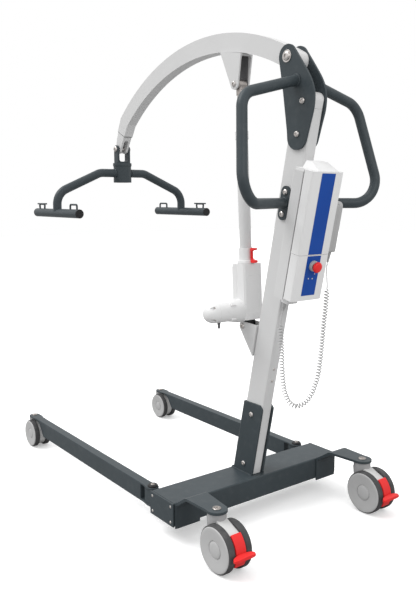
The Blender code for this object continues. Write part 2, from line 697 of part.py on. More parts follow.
def build_spreader(boom_axis):
    """Swinging clevis on the boom's tip, and the swivelling two-bar spreader under it."""
    swing = frame("spreader_swing_axis", minus(BOOM_TIP, BOOM_PIVOT), boom_axis)
    drop = -BOOM_TIP[2]
    ear_in = BOOM_HALF_X + 0.0010
    ear_out = ear_in + 0.008
    base_low = HUB_TOP + 0.0004 + drop
    base_high = base_low + 0.0050
    fork = [(-ear_out, 0.02), (-ear_out, base_low), (ear_out, base_low), (ear_out, 0.02),
            (ear_in, 0.02), (ear_in, base_high), (-ear_in, base_high), (-ear_in, 0.02)]
    clevis = prism("spreader_clevis", fork, 'XZ', -0.02, 0.02, "anthracite", swing)
    face = arc((0, 0), 0.0135, 0, 180, 10) + [(-0.0135, base_low - 0.01), (0.0135, base_low - 0.01)]
    boolean(clevis, prism("clevis_face", face, 'YZ', -0.04, 0.04, None, swing), 'INTERSECT')
    disc_low = HUB_BOTTOM - 0.0065 + drop
    stem_r = STEM_BORE_R - 0.0006
    stem = [(0.0, base_high - 0.001), (0.0285, base_high - 0.001), (0.0285, base_low), (stem_r, base_low),
            (stem_r, disc_low + 0.006), (0.0205, disc_low + 0.006), (0.0205, disc_low), (0.0, disc_low)]
    boolean(clevis, turned("clevis_stem", stem, (0, 0, 0), 'Z', None, swing, 20), 'UNION')
    drill(clevis, 0.0064, (0, 0, 0), 'X', swing)
    through_bolt("spreader_pivot_bolt", ear_out, (0, 0, 0), swing, 0.006, 0.0105, 0.006)

    swivel = frame("spreader_swivel_axis", (0, 0, 0), swing)
    low = HUB_BOTTOM + drop
    high = HUB_TOP + drop
    ring = [(STEM_BORE_R, high), (HUB_R + 0.001, high), (HUB_R + 0.002, high - 0.001),
            (HUB_R + 0.002, high - 0.011), (HUB_R, high - 0.012), (HUB_R, low + 0.001),
            (HUB_R - 0.001, low), (STEM_BORE_R, low), (STEM_BORE_R, high)]
    hub = turned("spreader_body", ring, (0, 0, 0), 'Z', "anthracite", swivel, 24)
    bar_z = SPREADER_BAR_Z + drop
    for side, sign in (("left", 1), ("right", -1)):
        arm_z = 1.0290 + drop
        knee = (SPREADER_BAR_X, 0, 0.9547 + drop)
        path = rounded_path([(0.020, 0, arm_z), (0.0930, 0, arm_z), knee, (SPREADER_BAR_X, 0, bar_z)],
                            (0.055, 0.058), 6)
        path = [(sign * p.x, p.y, p.z) for p in path]
        boolean(hub, tube("arm_" + side, path, ARM_R, None, swivel, 2), 'UNION')
    for sign in (1, -1):
        place = (sign * SPREADER_BAR_X, 0, bar_z)
        drill(hub, ARM_R + 0.0005, place, 'Y', swivel, 0.1, 20)
    for side, sign in (("left", 1), ("right", -1)):
        build_spreader_bar(side, sign, bar_z, swivel)


def build_spreader_bar(side, sign, bar_z, swivel):
    """Round bar across the arm's end with a staple and a horned staple for sling loops."""
    x = sign * SPREADER_BAR_X
    bar = cylinder("spreader_bar_" + side, ARM_R, SPREADER_BAR_LENGTH, (x, 0, bar_z), 'Y', "anthracite",
                   swivel, 20)
    top = bar_z + 0.0300
    root = bar_z + 0.0100
    rod = 0.0035
    plain_y = sign * HOOK_Y
    horned_y = -sign * HOOK_Y
    for kind, y, half in (("staple", plain_y, 0.0245), ("horned", horned_y, 0.0205)):
        points = [(x, y - half, root), (x, y - half, top), (x, y + half, top), (x, y + half, root)]
        path = rounded_path(points, (0.006, 0.006), 4)
        boolean(bar, tube("hook_" + kind + "_" + side, path, rod, None, swivel, 2), 'UNION')
    horns = box("hook_horns_" + side, (x - 0.0055, horned_y - 0.0320, top - 0.0025),
                (x + 0.0055, horned_y + 0.0320, top + 0.0040), None, swivel)
    boolean(bar, horns, 'UNION')


# ---------------------------------------------------------------- actuator

def build_actuator_mount(origin, mast):
    """Gusseted channel welded to the mast's front for the actuator's lower pin."""
    fy, fz = ACTUATOR_FOOT[1:]
    high = 0.5750
    low = 0.4830
    skin = GAP / math.cos(MAST_LEAN)
    outline = arc((fy, fz), 0.0140, 100, 215, 8)
    outline += [(mast_front(low) - skin, low), (mast_front(high) - skin, high)]
    mount = prism("actuator_mount", outline, 'YZ', -FORK_HALF_X, FORK_HALF_X, "light_grey_paint",
                  origin)
    inside = FORK_HALF_X - FORK_WALL
    slot = box("actuator_mount_slot", (-inside, -MAST_HALF_N - 0.20, 0.30),
               (inside, -MAST_HALF_N - GAP - 0.005, 0.75), None, mast)
    boolean(mount, slot)
    drill(mount, 0.0054, ACTUATOR_FOOT, 'X', origin)
    through_bolt("actuator_lower_pin", FORK_HALF_X, ACTUATOR_FOOT, origin, 0.0050, 0.0085, 0.004)


def build_actuator(origin):
    """Linear actuator on its lower pin: gearbox with motor, outer tube, rod and release."""
    _, fy, fz = ACTUATOR_FOOT
    _, hy, hz = ACTUATOR_HEAD
    length = math.hypot(hy - fy, hz - fz)
    tilt = math.atan2(fy - hy, hz - fz)
    axis = frame("actuator_axis", ACTUATOR_FOOT, origin, (tilt, 0.0, 0.0))
    case = box("actuator_housing", (-0.0345, -GEARBOX_FRONT, GEARBOX_LOW), (0.0345, 0.0310, GEARBOX_HIGH),
               "white_plastic", axis, 0.010, 3)
    eye_outline = arc((0, 0), 0.0130, 180, 360, 10) + [(0.0130, 0.030), (-0.0130, 0.030)]
    boolean(case, prism("actuator_foot_eye", eye_outline, 'YZ', -0.0165, 0.0165, None, axis), 'UNION')
    motor = [(0.0, 0.157), (0.012, 0.1555), (0.020, 0.151), (0.0255, 0.144), (MOTOR_R - 0.0005, 0.133),
             (MOTOR_R, 0.125), (MOTOR_R, 0.020), (0.0, 0.020)]
    boolean(case, turned("actuator_motor", motor, (0, -0.003, MOTOR_S), 'X', None, axis, 24), 'UNION')
    drill(case, 0.0054, (0, 0, 0), 'X', axis)

    low = GEARBOX_HIGH + GAP
    tube_profile = [(ROD_R + 0.0006, TUBE_TOP), (0.0185, TUBE_TOP), (0.0195, TUBE_TOP - 0.002),
                    (0.0195, TUBE_TOP - 0.024), (TUBE_R, TUBE_TOP - 0.026), (TUBE_R, 0.2295),
                    (0.0210, 0.2290), (0.0210, 0.1925), (0.0257, 0.1920), (0.0257, low),
                    (ROD_R + 0.0006, low), (ROD_R + 0.0006, TUBE_TOP)]
    turned("actuator_outer_tube", tube_profile, (0, 0, 0), 'Z', "white_plastic", axis, 24)

    rod_profile = [(0.0, length - 0.006), (ROD_R, length - 0.006), (ROD_R, 0.330), (0.0, 0.330)]
    rod = turned("actuator_rod", rod_profile, (0, 0, 0), 'Z', "stainless", axis, 20)
    eye = cylinder("actuator_rod_eye", 0.0140, 2 * EYE_HALF, (0, 0, length), 'X', None, axis, 20)
    boolean(rod, eye, 'UNION')
    drill(rod, 0.0055, (0, 0, length), 'X', axis)

    back = 0.0262
    clip = [(back, 0.186), (back + 0.0200, 0.187), (back + 0.0200, 0.197), (back + 0.0050, 0.200),
            (back + 0.0050, 0.219), (back + 0.0190, 0.220), (back + 0.0190, 0.229), (back, 0.229)]
    prism("actuator_release", clip, 'YZ', -0.009, 0.009, "red_plastic", axis)


# ---------------------------------------------------------------- control unit

def control_section():
    """Cross-section of the control box and battery in x and n."""
    half = [(BOX_INNER_X, BOX_BACK_N), (BOX_INNER_X, BOX_STEP_N), (BOX_HALF_X, BOX_STEP_N + 0.002),
            (BOX_HALF_X, BOX_EDGE_N), (PANEL_HALF_X, PANEL_N)]
    return half + [(-u, v) for u, v in reversed(half)]


def build_control_unit(mast):
    """Bracket, control box, battery pack and emergency stop on the mast's rear face."""
    sheet = BRACKET_SHEET
    near, far = BRACKET_N
    channel = [(-BRACKET_HALF_X, near), (BRACKET_HALF_X, near), (BRACKET_HALF_X, far),
               (BRACKET_HALF_X - sheet, far), (BRACKET_HALF_X - sheet, near + sheet),
               (-BRACKET_HALF_X + sheet, near + sheet), (-BRACKET_HALF_X + sheet, far),
               (-BRACKET_HALF_X, far)]
    prism("control_box_bracket", channel, 'XY', BRACKET_S[0], BRACKET_S[1], "light_grey_paint", mast)

    half_radii = (0.003, 0.0, 0.003, 0.006, 0.003)
    outline = rounded_outline(control_section(), half_radii + half_radii[::-1], 2)
    control = prism("control_box", outline, 'XY', BOX_S[0], BOX_S[1], "white_plastic", mast)
    socket_block = box("control_box_socket", (-0.0175, BOX_BACK_N, 0.680),
                       (0.0215, 0.0660, BOX_S[0] + 0.004), None, mast)
    boolean(control, socket_block, 'UNION')

    battery = prism("battery_pack", outline, 'XY', BATTERY_S[0], BATTERY_S[1], "white_plastic", mast)
    root = BATTERY_S[1] - 0.004
    hump = [(0.0560, root), (0.0560, HUMP_TOP_S - 0.003), (0.0600, HUMP_TOP_S), (0.0820, HUMP_TOP_S),
            (0.0900, HUMP_TOP_S - 0.003), (0.1100, BATTERY_S[1] + 0.001), (0.1100, root)]
    boolean(battery, prism("battery_hump", hump, 'YZ', -HUMP_HALF_X, HUMP_HALF_X, None, mast), 'UNION')

    collar_low = PANEL_N + GAP
    collar_high = PANEL_N + 0.009
    bore = 0.0078
    collar = [(bore, collar_high), (0.0130, collar_high), (0.0140, collar_high - 0.002),
              (0.0145, collar_low), (bore, collar_low), (bore, collar_high)]
    turned("emergency_stop_collar", collar, (0, 0, STOP_S), 'Y', "grey_plastic", mast, 20)
    knob_low = PANEL_N + 0.0150
    knob_high = knob_low + 0.0090
    knob = [(0.0, knob_high), (0.0105, knob_high - 0.0004), (0.0140, knob_high - 0.0020),
            (0.0150, knob_high - 0.0050), (0.0145, knob_low), (bore - 0.0006, knob_low),
            (bore - 0.0006, collar_low + 0.006), (0.0, collar_low + 0.006)]
    turned("emergency_stop_button", knob, (0, 0, STOP_S), 'Y', "red_plastic", mast, 20)


def build_handset(mast):
    """Hand control hung on the control unit's right side, with its two rocker keys."""
    low = (HANDSET_X[0], HANDSET_N[0], HANDSET_S[0])
    high = (HANDSET_X[1], HANDSET_N[1], HANDSET_S[1])
    handset = box("handset", low, high, "grey_plastic", mast, 0.007, 3)
    middle_n = (HANDSET_N[0] + HANDSET_N[1]) / 2
    for label, s in (("up", 0.9430), ("down", 0.9180)):
        room = box("key_room_" + label, (HANDSET_X[0] - 0.01, middle_n - 0.0105, s - 0.0095),
                   (HANDSET_X[0] + 0.0060, middle_n + 0.0105, s + 0.0095), None, mast)
        boolean(handset, room)
        box("handset_key_" + label, (HANDSET_X[0] - 0.0012, middle_n - 0.0100, s - 0.0090),
            (HANDSET_X[0] + 0.0035, middle_n + 0.0100, s + 0.0090), "black_plastic", mast, 0.0015)


# ---------------------------------------------------------------- handset cord

def smooth_route(points, spacing):
    """Evenly spaced points on the smooth curve through a route's own points."""
    dense = []
    padded = [points[0]] + list(points) + [points[-1]]
    for i in range(1, len(padded) - 2):
        p0, p1, p2, p3 = (Vector(p) for p in padded[i - 1:i + 3])
        for k in range(16):
            t = k / 16
            dense.append(0.5 * (2 * p1 + (p2 - p0) * t + (2 * p0 - 5 * p1 + 4 * p2 - p3) * t * t
                                + (3 * p1 - p0 - 3 * p2 + p3) * t * t * t))
    dense.append(Vector(points[-1]))
    total = sum((b - a).length for a, b in zip(dense, dense[1:]))
    count = max(2, round(total / spacing))
    step = total / count
    route = [dense[0]]
    walked = 0.0
    for a, b in zip(dense, dense[1:]):
        span = (b - a).length
        while span > 0 and walked + span >= step * len(route) - 1e-9 and len(route) < count:
            route.append(a.lerp(b, (step * len(route) - walked) / span))
        walked += span
    route.append(dense[-1])
    return route


UPPER_LEAD = [(-0.0790, 0.2846, 0.7629), (-0.0790, 0.2829, 0.7551), (-0.0786, 0.2830, 0.7420),
              (-0.0778, 0.2850, 0.7250), (-0.0770, 0.2868, 0.7100), (-0.0763, 0.2881, 0.6980)]
COIL_ROUTE = [(-0.0760, 0.2884, 0.6950), (-0.0720, 0.2885, 0.6450), (-0.0666, 0.2875, 0.5950),
              (-0.0626, 0.2862, 0.5400), (-0.0590, 0.2850, 0.4950), (-0.0535, 0.2830, 0.4520),
              (-0.0450, 0.2780, 0.4180), (-0.0350, 0.2690, 0.3880), (-0.0215, 0.2570, 0.3690),
              (-0.0065, 0.2440, 0.3640), (0.0070, 0.2330, 0.3760), (0.0165, 0.2260, 0.4020),
              (0.0212, 0.2225, 0.4350), (0.0238, 0.2205, 0.4750), (0.0254, 0.2192, 0.5200),
              (0.0262, 0.2178, 0.5600), (0.0266, 0.2165, 0.5950)]
LOWER_LEAD = [(0.0267, 0.2163, 0.5975), (0.0262, 0.2152, 0.6045), (0.0238, 0.2132, 0.6125),
              (0.0198, 0.2114, 0.6205), (0.0168, 0.2115, 0.6275), (0.0160, 0.2130, 0.6329)]


def mast_to_design(x, s, n):
    """Design coordinates of a point of the mast's frame."""
    y = MAST_FOOT_Y + s * math.sin(MAST_LEAN) + n * math.cos(MAST_LEAN)
    z = s * math.cos(MAST_LEAN) - n * math.sin(MAST_LEAN)
    return (x, y, z)


def build_cord(origin, mast):
    """Strain relief, two straight leads, the coiled stretch's envelope and the plug."""
    x, s, n = CORD_EXIT
    relief = [(0.0, HANDSET_S[0] - GAP), (0.0050, HANDSET_S[0] - GAP), (0.0046, s + 0.020),
              (0.0024, s), (0.0, s)]
    turned("handset_strain_relief", [(r, h) for r, h in relief], (x, n, 0), 'Z', "grey_plastic", mast, 16)
    px, ps, pn = PLUG_SOCKET
    plug = [(0.0, ps - GAP), (0.0058, ps - GAP), (0.0058, ps - 0.014), (0.0030, ps - 0.022),
            (0.0, ps - 0.022)]
    turned("handset_plug", plug, (px, pn, 0), 'Z', "grey_plastic", mast, 16)
    start = Vector(mast_to_design(x, s - GAP, n))
    end = Vector(mast_to_design(px, ps - 0.022 - GAP, pn))
    upper = smooth_route([start] + [Vector(p) for p in UPPER_LEAD[1:]], 0.006)
    coil = smooth_route([Vector(p) for p in COIL_ROUTE], 0.016)
    lower = smooth_route([Vector(p) for p in LOWER_LEAD[:-1]] + [end], 0.005)
    tube("handset_cord_upper_lead", upper, CORD_R, "cord_grey", origin, 2)
    tube("handset_cord_coil", coil, COIL_R, "cord_grey", origin, 2)
    tube("handset_cord_lower_lead", lower, CORD_R, "cord_grey", origin, 2)


# ---------------------------------------------------------------- assembly

def build():
    origin = frame("hoist_origin", (0, CENTRE_Y, 0))
    mast = frame("mast_frame", (0, MAST_FOOT_Y, 0), origin, (-MAST_LEAN, 0.0, 0.0))
    build_base(origin)
    for side, sign in (("left", 1), ("right", -1)):
        place = (sign * REAR_CASTOR_X, REAR_CASTOR_Y, 0)
        build_castor("rear_castor_" + side, place, REAR_CASTOR, origin, pedal=True)
        build_leg(side, sign, origin)
        build_handle(side, sign, origin, mast)
    build_mast(origin, mast)
    boom_axis = build_boom(origin)
    build_spreader(boom_axis)
    build_actuator_mount(origin, mast)
    build_actuator(origin)
    build_control_unit(mast)
    build_handset(mast)
    build_cord(origin, mast)
    bpy.context.view_layer.update()


build()
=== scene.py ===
"""Looks of a patient lift hoist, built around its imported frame.

Every piece is in metres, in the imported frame, and rides on a CAD body. The CAD solids that it
stands for are hidden. Design coordinates have y = 0 at the crossbar's front face; MAST, ACTUATOR
and SPREADER are the frames of those parts. An _S is a height along the mast, an _N a depth.
"""

import json
import math

import bmesh
import bpy
from mathutils import Matrix, Vector


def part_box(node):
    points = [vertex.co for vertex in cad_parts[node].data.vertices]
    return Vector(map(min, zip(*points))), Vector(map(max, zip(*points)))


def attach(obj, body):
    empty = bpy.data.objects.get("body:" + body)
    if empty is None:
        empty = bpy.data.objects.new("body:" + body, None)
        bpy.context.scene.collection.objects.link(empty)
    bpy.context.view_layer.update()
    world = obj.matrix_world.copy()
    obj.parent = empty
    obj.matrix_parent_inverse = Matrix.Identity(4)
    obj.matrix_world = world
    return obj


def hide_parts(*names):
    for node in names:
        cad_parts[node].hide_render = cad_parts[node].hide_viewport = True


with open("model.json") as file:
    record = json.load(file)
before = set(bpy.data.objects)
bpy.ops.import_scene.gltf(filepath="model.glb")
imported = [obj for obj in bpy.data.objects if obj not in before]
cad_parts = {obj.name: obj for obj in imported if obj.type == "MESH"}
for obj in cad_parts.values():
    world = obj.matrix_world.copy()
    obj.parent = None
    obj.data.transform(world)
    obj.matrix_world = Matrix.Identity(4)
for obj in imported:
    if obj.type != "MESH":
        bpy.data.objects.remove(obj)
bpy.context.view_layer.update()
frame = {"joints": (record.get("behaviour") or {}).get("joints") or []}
joints = {joint["name"]: joint for joint in frame["joints"]}


def joint_place(name):
    return Vector(joints[name]["pos_m"])


# ---------------------------------------------------------------- driving dimensions

CROSSBAR_LOW, CROSSBAR_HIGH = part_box("base_crossbar")
FRONT_Y = CROSSBAR_LOW.y                    # crossbar's front face, zero of the design's y
LEAN = math.radians(12.0)
MAST_FOOT_Y = 0.0274
MAST_HALF_X = 0.0178
MAST_HALF_N = 0.0377
MAST_BOTTOM_S = 0.1295
MAST_TOP_S = 1.198
MAST_CAP = 0.04
SOCKET_HALF_X = 0.0236
SOCKET_SKIN = 0.0058
HEAD_PLATE_IN = 0.0181
HEAD_PLATE_OUT = 0.0241

BOOM_HALF_X = 0.0174
BOOM_ARC_CENTRE = (-0.135, 0.64)
BOOM_ARC_R = 0.75
BOOM_HALF_H = 0.0262
BOOM_END_ANGLE = 60.6

HUB_TOP = 1.066
HUB_BOTTOM = 1.002
HUB_R = 0.0322
ARM_R = 0.0148
SPREADER_BAR_X = 0.2635
SPREADER_BAR_Z = 0.887
SPREADER_BAR_HALF = 0.169
HOOK_Y = 0.125

GEARBOX_LOW = 0.0195
GEARBOX_HIGH = 0.183
TUBE_R = 0.0175
TUBE_TOP = 0.568
ROD_R = 0.01
MOTOR_R = 0.028
MOTOR_S = 0.0465
MOTOR_END = 0.157
FORK_HALF_X = 0.0225
FORK_WALL = 0.0052

HANDLE_R = 0.014
HANDLE_TOP = (0.0235, 0.2551, 1.2403)
HANDLE_UPPER = (0.2082, 0.2587, 1.1914)
HANDLE_LOWER = (0.2561, 0.3202, 0.9252)
FLANGE_S = 0.945
FLANGE_N = -0.0083
FLANGE_BOLT = 0.03

PANEL_HALF_X = 0.0265
PANEL_N = 0.1139
BOX_S = (0.7069, 0.8325)
BATTERY_S = (0.8333, 1.051)
HUMP_TOP_S = 1.0705
STOP_S = 0.8043
HANDSET_X = (-0.0872, -0.0573)
HANDSET_N = (0.063, 0.105)
HANDSET_S = (0.833, 0.97)

LEG_WIDTH = 0.0295
LEG_BOTTOM = 0.0548
LEG_TOP = 0.111
LEG_TONGUE = 0.006

CORD_D = 0.003
COIL_R = 0.006                             # radius of the helix's centre line
COIL_TURNS = 72

REAR_CASTOR = dict(radius=0.0625, half=0.0395, trail=0.0372, body=0.0165, neck=0.0255,
                   seat=0.1423, plate=0.0078, head=0.0115)
FRONT_CASTOR = dict(radius=0.05, half=0.0327, trail=0.0255, body=0.0115, neck=0.0195,
                    seat=0.1045, plate=0.0066, head=0.0095)

SKIN = 0.0003                               # how far a piece stands off the face it sits on
HOOD_INSET = 0.0065                         # a castor's hood, inside its wheels' radius
SIDES = (("left", 1), ("right", -1))

CAMERA_LENS = 41.97
CAMERA_SENSOR = 36.0
CAMERA_PLACE = (1.3199, 1.5824 + FRONT_Y, 0.9412)
CAMERA_DOWN = 8.158                         # degrees below the horizon
CAMERA_TURN = 142.688
SUN_DIRECTION = (-0.66, 0.58, -1.25)
SUN_ANGLE = 38.0
SUN_POWER = 1.7
FILL_PLACE = (0.2, 3.4, 2.4)
FILL_TARGET = (0, 0, 0.6)
FILL_SIZE = 2.0
FILL_POWER = 20.0
AMBIENT = 0.95                              # light from the surroundings, against a white backdrop
FLOOR_BOUNCE = 0.35                         # how much of its light the floor throws back at the hoist
FLOOR_LIFT = 0.3                           # glow that keeps the floor as pale as the backdrop

shift = Matrix.Translation
DESIGN = shift((0, FRONT_Y, 0))
MAST = DESIGN @ shift((0, MAST_FOOT_Y, 0)) @ Matrix.Rotation(-LEAN, 4, 'X')
BOOM_PIVOT = joint_place("boom_lift") - Vector((0, FRONT_Y, 0))
BOOM_TIP = joint_place("spreader_swing") - Vector((0, FRONT_Y, 0))
ACTUATOR_FOOT = joint_place("actuator_tilt") - Vector((0, FRONT_Y, 0))
ACTUATOR_AXIS = Vector(joints["rod_slide"]["axis"])
ACTUATOR_TILT = math.atan2(-ACTUATOR_AXIS.y, ACTUATOR_AXIS.z)
ACTUATOR_LENGTH = 0.69795
ACTUATOR = DESIGN @ shift(ACTUATOR_FOOT) @ Matrix.Rotation(ACTUATOR_TILT, 4, 'X')
SPREADER = DESIGN @ shift(BOOM_TIP)


# ---------------------------------------------------------------- materials

def node(tree, kind, **values):
    made = tree.nodes.new(kind)
    for key, value in values.items():
        if key in made.inputs.keys():
            made.inputs[key].default_value = value
        else:
            setattr(made, key, value)
    return made


def noise(tree, scale, detail=3.0, stretch=None):
    """A noise texture on the piece's own coordinates, stretched along an axis if asked."""
    coords = node(tree, "ShaderNodeTexCoord")
    texture = node(tree, "ShaderNodeTexNoise", Scale=scale, Detail=detail)
    if stretch:
        mapping = node(tree, "ShaderNodeMapping", Scale=stretch)
        tree.links.new(coords.outputs["Object"], mapping.inputs["Vector"])
        tree.links.new(mapping.outputs["Vector"], texture.inputs["Vector"])
    else:
        tree.links.new(coords.outputs["Object"], texture.inputs["Vector"])
    return texture.outputs["Fac"]


def make_material(name, color, roughness, metallic=0.0, tint=0.05, patches=9.0, spread=0.05,
                  grain=1500.0, bump=0.3, depth=0.0001, coat=0.0, stretch=None, specular=0.25,
                  dust=None):
    """A painted, moulded or metal surface: patchy colour, uneven gloss and a fine relief."""
    material = bpy.data.materials.new(name)
    material.use_nodes = True
    tree = material.node_tree
    shader = tree.nodes["Principled BSDF"]
    shader.inputs["Metallic"].default_value = metallic
    shader.inputs["Specular IOR Level"].default_value = specular
    shader.inputs["Coat Weight"].default_value = coat
    shader.inputs["Coat Roughness"].default_value = 0.12
    ramp = node(tree, "ShaderNodeValToRGB")
    ramp.color_ramp.elements[0].position = 0.32
    ramp.color_ramp.elements[1].position = 0.68
    ramp.color_ramp.elements[0].color = (*[c * (1 - tint) for c in color], 1)
    ramp.color_ramp.elements[1].color = (*[min(1, c * (1 + tint)) for c in color], 1)
    tree.links.new(noise(tree, patches, 4.0, stretch), ramp.inputs["Fac"])
    surface = ramp.outputs["Color"]
    if dust:
        mix = node(tree, "ShaderNodeMix", data_type='RGBA')
        spots = node(tree, "ShaderNodeMapRange")
        spots.inputs["From Min"].default_value = 0.52
        spots.inputs["From Max"].default_value = 0.75
        spots.inputs["To Max"].default_value = dust[1]
        tree.links.new(noise(tree, 45.0, 6.0), spots.inputs["Value"])
        tree.links.new(spots.outputs["Result"], mix.inputs["Factor"])
        tree.links.new(surface, mix.inputs["A"])
        mix.inputs["B"].default_value = (*dust[0], 1)
        surface = mix.outputs["Result"]
    tree.links.new(surface, shader.inputs["Base Color"])
    gloss = node(tree, "ShaderNodeMapRange")
    gloss.inputs["To Min"].default_value = max(0.03, roughness - spread)
    gloss.inputs["To Max"].default_value = roughness + spread
    tree.links.new(noise(tree, patches * 6, 3.0, stretch), gloss.inputs["Value"])
    tree.links.new(gloss.outputs["Result"], shader.inputs["Roughness"])
    relief = node(tree, "ShaderNodeBump", Strength=bump, Distance=depth)
    tree.links.new(noise(tree, grain, 2.0, stretch), relief.inputs["Height"])
    tree.links.new(relief.outputs["Normal"], shader.inputs["Normal"])
    return material


DUST = (0.42, 0.42, 0.41)
MATERIALS = {
    "anthracite": make_material("anthracite_powder_coat", (0.044, 0.056, 0.063), 0.42, tint=0.04,
                                grain=750.0, bump=0.35, depth=0.00016, dust=(DUST, 0.03)),
    "light_grey": make_material("light_grey_powder_coat", (0.63, 0.63, 0.63), 0.4, tint=0.015, grain=750.0,
                                bump=0.3, depth=0.00014),
    "white": make_material("white_housing", (0.76, 0.76, 0.76), 0.36, tint=0.012, grain=1600.0, bump=0.22,
                           depth=0.00007, specular=0.35),
    "panel_blue": make_material("blue_front_film", (0.01, 0.066, 0.34), 0.34, tint=0.04, grain=2200.0,
                                bump=0.2, depth=0.00005, specular=0.15),
    "film_edge": make_material("film_border", (0.62, 0.6, 0.56), 0.4, tint=0.02, grain=1800.0, bump=0.25),
    "grey_plastic": make_material("grey_moulding", (0.42, 0.42, 0.42), 0.46, tint=0.03),
    "dark_plastic": make_material("dark_moulding", (0.13, 0.13, 0.135), 0.48, tint=0.05),
    "black_plastic": make_material("black_moulding", (0.016, 0.016, 0.017), 0.42, tint=0.15),
    "castor_body": make_material("castor_nylon", (0.6, 0.6, 0.595), 0.42, tint=0.03, grain=1300.0,
                                 dust=(DUST, 0.1)),
    "castor_neck": make_material("castor_housing", (0.36, 0.36, 0.365), 0.4, tint=0.04, grain=1300.0),
    "wheel_disc": make_material("wheel_disc_nylon", (0.47, 0.47, 0.47), 0.4, tint=0.03, grain=1300.0,
                                dust=(DUST, 0.1)),
    "tyre": make_material("grey_tread_rubber", (0.06, 0.06, 0.062), 0.62, tint=0.1, patches=40.0,
                          grain=1100.0, bump=0.5, depth=0.0002, dust=(DUST, 0.1)),
    "red": make_material("signal_red_moulding", (0.8, 0.024, 0.024), 0.36, tint=0.05, bump=0.25,
                         depth=0.00008, specular=0.3),
    "steel": make_material("turned_stainless", (0.6, 0.57, 0.55), 0.3, metallic=1.0, tint=0.06,
                           patches=60.0, grain=2500.0, bump=0.25, depth=0.00006),
    "zinc": make_material("plated_bolt", (0.4, 0.37, 0.35), 0.4, metallic=1.0, tint=0.1, patches=90.0,
                          grain=2500.0, depth=0.00008),
    "ground_rod": make_material("ground_rod", (0.52, 0.5, 0.48), 0.24, metallic=1.0, tint=0.04,
                                patches=14.0, grain=500.0, bump=0.15, depth=0.00005,
                                stretch=(9.0, 9.0, 1.0)),
    # The cord's grey, made darker as painted shade for the shade between the coil's turns; also used on the
    # plug and the relief.
    "cord": make_material("cord_polyurethane_with_painted_shade", (0.43, 0.43, 0.43), 0.4, tint=0.05, patches=120.0,
                          grain=2600.0, bump=0.25, depth=0.00006),
    "led": make_material("led_lens", (0.78, 0.74, 0.62), 0.2, tint=0.06, patches=200.0, grain=3000.0,
                         bump=0.15, depth=0.00005, coat=0.4),
    # Dark parting-line colour, also used as painted shade: strips in the gaps beside the control bracket
    # and a line at the boom's lug joint.
    "seam": make_material("parting_line_and_painted_shade", (0.1, 0.1, 0.1), 0.55, tint=0.05, bump=0.25),
}
# The record's finish slot that goes with each material, where a piece names no other.
SLOT_OF = dict(anthracite="anthracite_paint", light_grey="light_grey_paint", white="white_plastic",
               film_edge="white_plastic", led="white_plastic", grey_plastic="grey_plastic",
               dark_plastic="grey_plastic", seam="grey_plastic", cord="grey_plastic",
               black_plastic="black_plastic", castor_body="castor_grey", castor_neck="castor_grey",
               wheel_disc="castor_grey", tyre="tyre_rubber", red="red_plastic", steel="stainless",
               zinc="stainless", ground_rod="stainless")


# ---------------------------------------------------------------- shapes

def minus(a, b):
    return tuple(p - q for p, q in zip(a, b))


def add_object(name, mesh, at):
    obj = bpy.data.objects.new(name, mesh)
    bpy.context.scene.collection.objects.link(obj)
    obj.matrix_world = at
    return obj


def from_bmesh(name, bm, at):
    mesh = bpy.data.meshes.new(name)
    bm.to_mesh(mesh)
    bm.free()
    return add_object(name, mesh, at)


def evaluated_mesh(obj):
    bpy.context.view_layer.update()
    depsgraph = bpy.context.evaluated_depsgraph_get()
    return bpy.data.meshes.new_from_object(obj.evaluated_get(depsgraph))


def settle(obj):
    """Keep what the modifiers have made and drop the modifiers."""
    mesh = evaluated_mesh(obj)
    obj.modifiers.clear()
    old = obj.data
    obj.data = mesh
    mesh.name = obj.name
    bpy.data.meshes.remove(old)
    return obj


def box(name, low, high, at=DESIGN, edge=0.0, segments=3):
    bm = bmesh.new()
    bmesh.ops.create_cube(bm, size=1.0)
    bmesh.ops.scale(bm, vec=minus(high, low), verts=bm.verts)
    middle = Vector([(a + b) / 2 for a, b in zip(low, high)])
    obj = from_bmesh(name, bm, at @ shift(middle))
    if edge:
        soften(obj, edge, segments)
    return obj


AXIS_TURN = {'X': Matrix.Rotation(math.pi / 2, 4, 'Y'), 'Y': Matrix.Rotation(-math.pi / 2, 4, 'X'),
             'Z': Matrix.Identity(4)}


def facing(axis, sign):
    """The turn that lays a piece's Z along an axis, or against it for a negative sign."""
    return AXIS_TURN[axis] if sign > 0 else AXIS_TURN[axis] @ Matrix.Rotation(math.pi, 4, 'X')


def cylinder(name, radius, length, centre, axis='Z', at=DESIGN, sides=48):
    bm = bmesh.new()
    bmesh.ops.create_cone(bm, cap_ends=True, segments=sides, radius1=radius, radius2=radius, depth=length)
    return from_bmesh(name, bm, at @ shift(centre) @ AXIS_TURN[axis])


def turned(name, profile, centre=(0, 0, 0), axis='Z', at=DESIGN, sides=64):
    """A turned piece; profile is (radius, height) down its outer side from the top."""
    closed = profile[0] == profile[-1]
    points = profile[:-1] if closed else profile
    verts = [(radius, 0.0, height) for radius, height in points]
    edges = [(i, i + 1) for i in range(len(verts) - 1)]
    if closed:
        edges.append((len(verts) - 1, 0))
    mesh = bpy.data.meshes.new(name)
    mesh.from_pydata(verts, edges, [])
    obj = add_object(name, mesh, at @ shift(centre) @ AXIS_TURN[axis])
    screw = obj.modifiers.new("Turn", 'SCREW')
    screw.steps = sides
    screw.render_steps = sides
    screw.use_merge_vertices = True
    screw.merge_threshold = 0.00002
    return settle(obj)


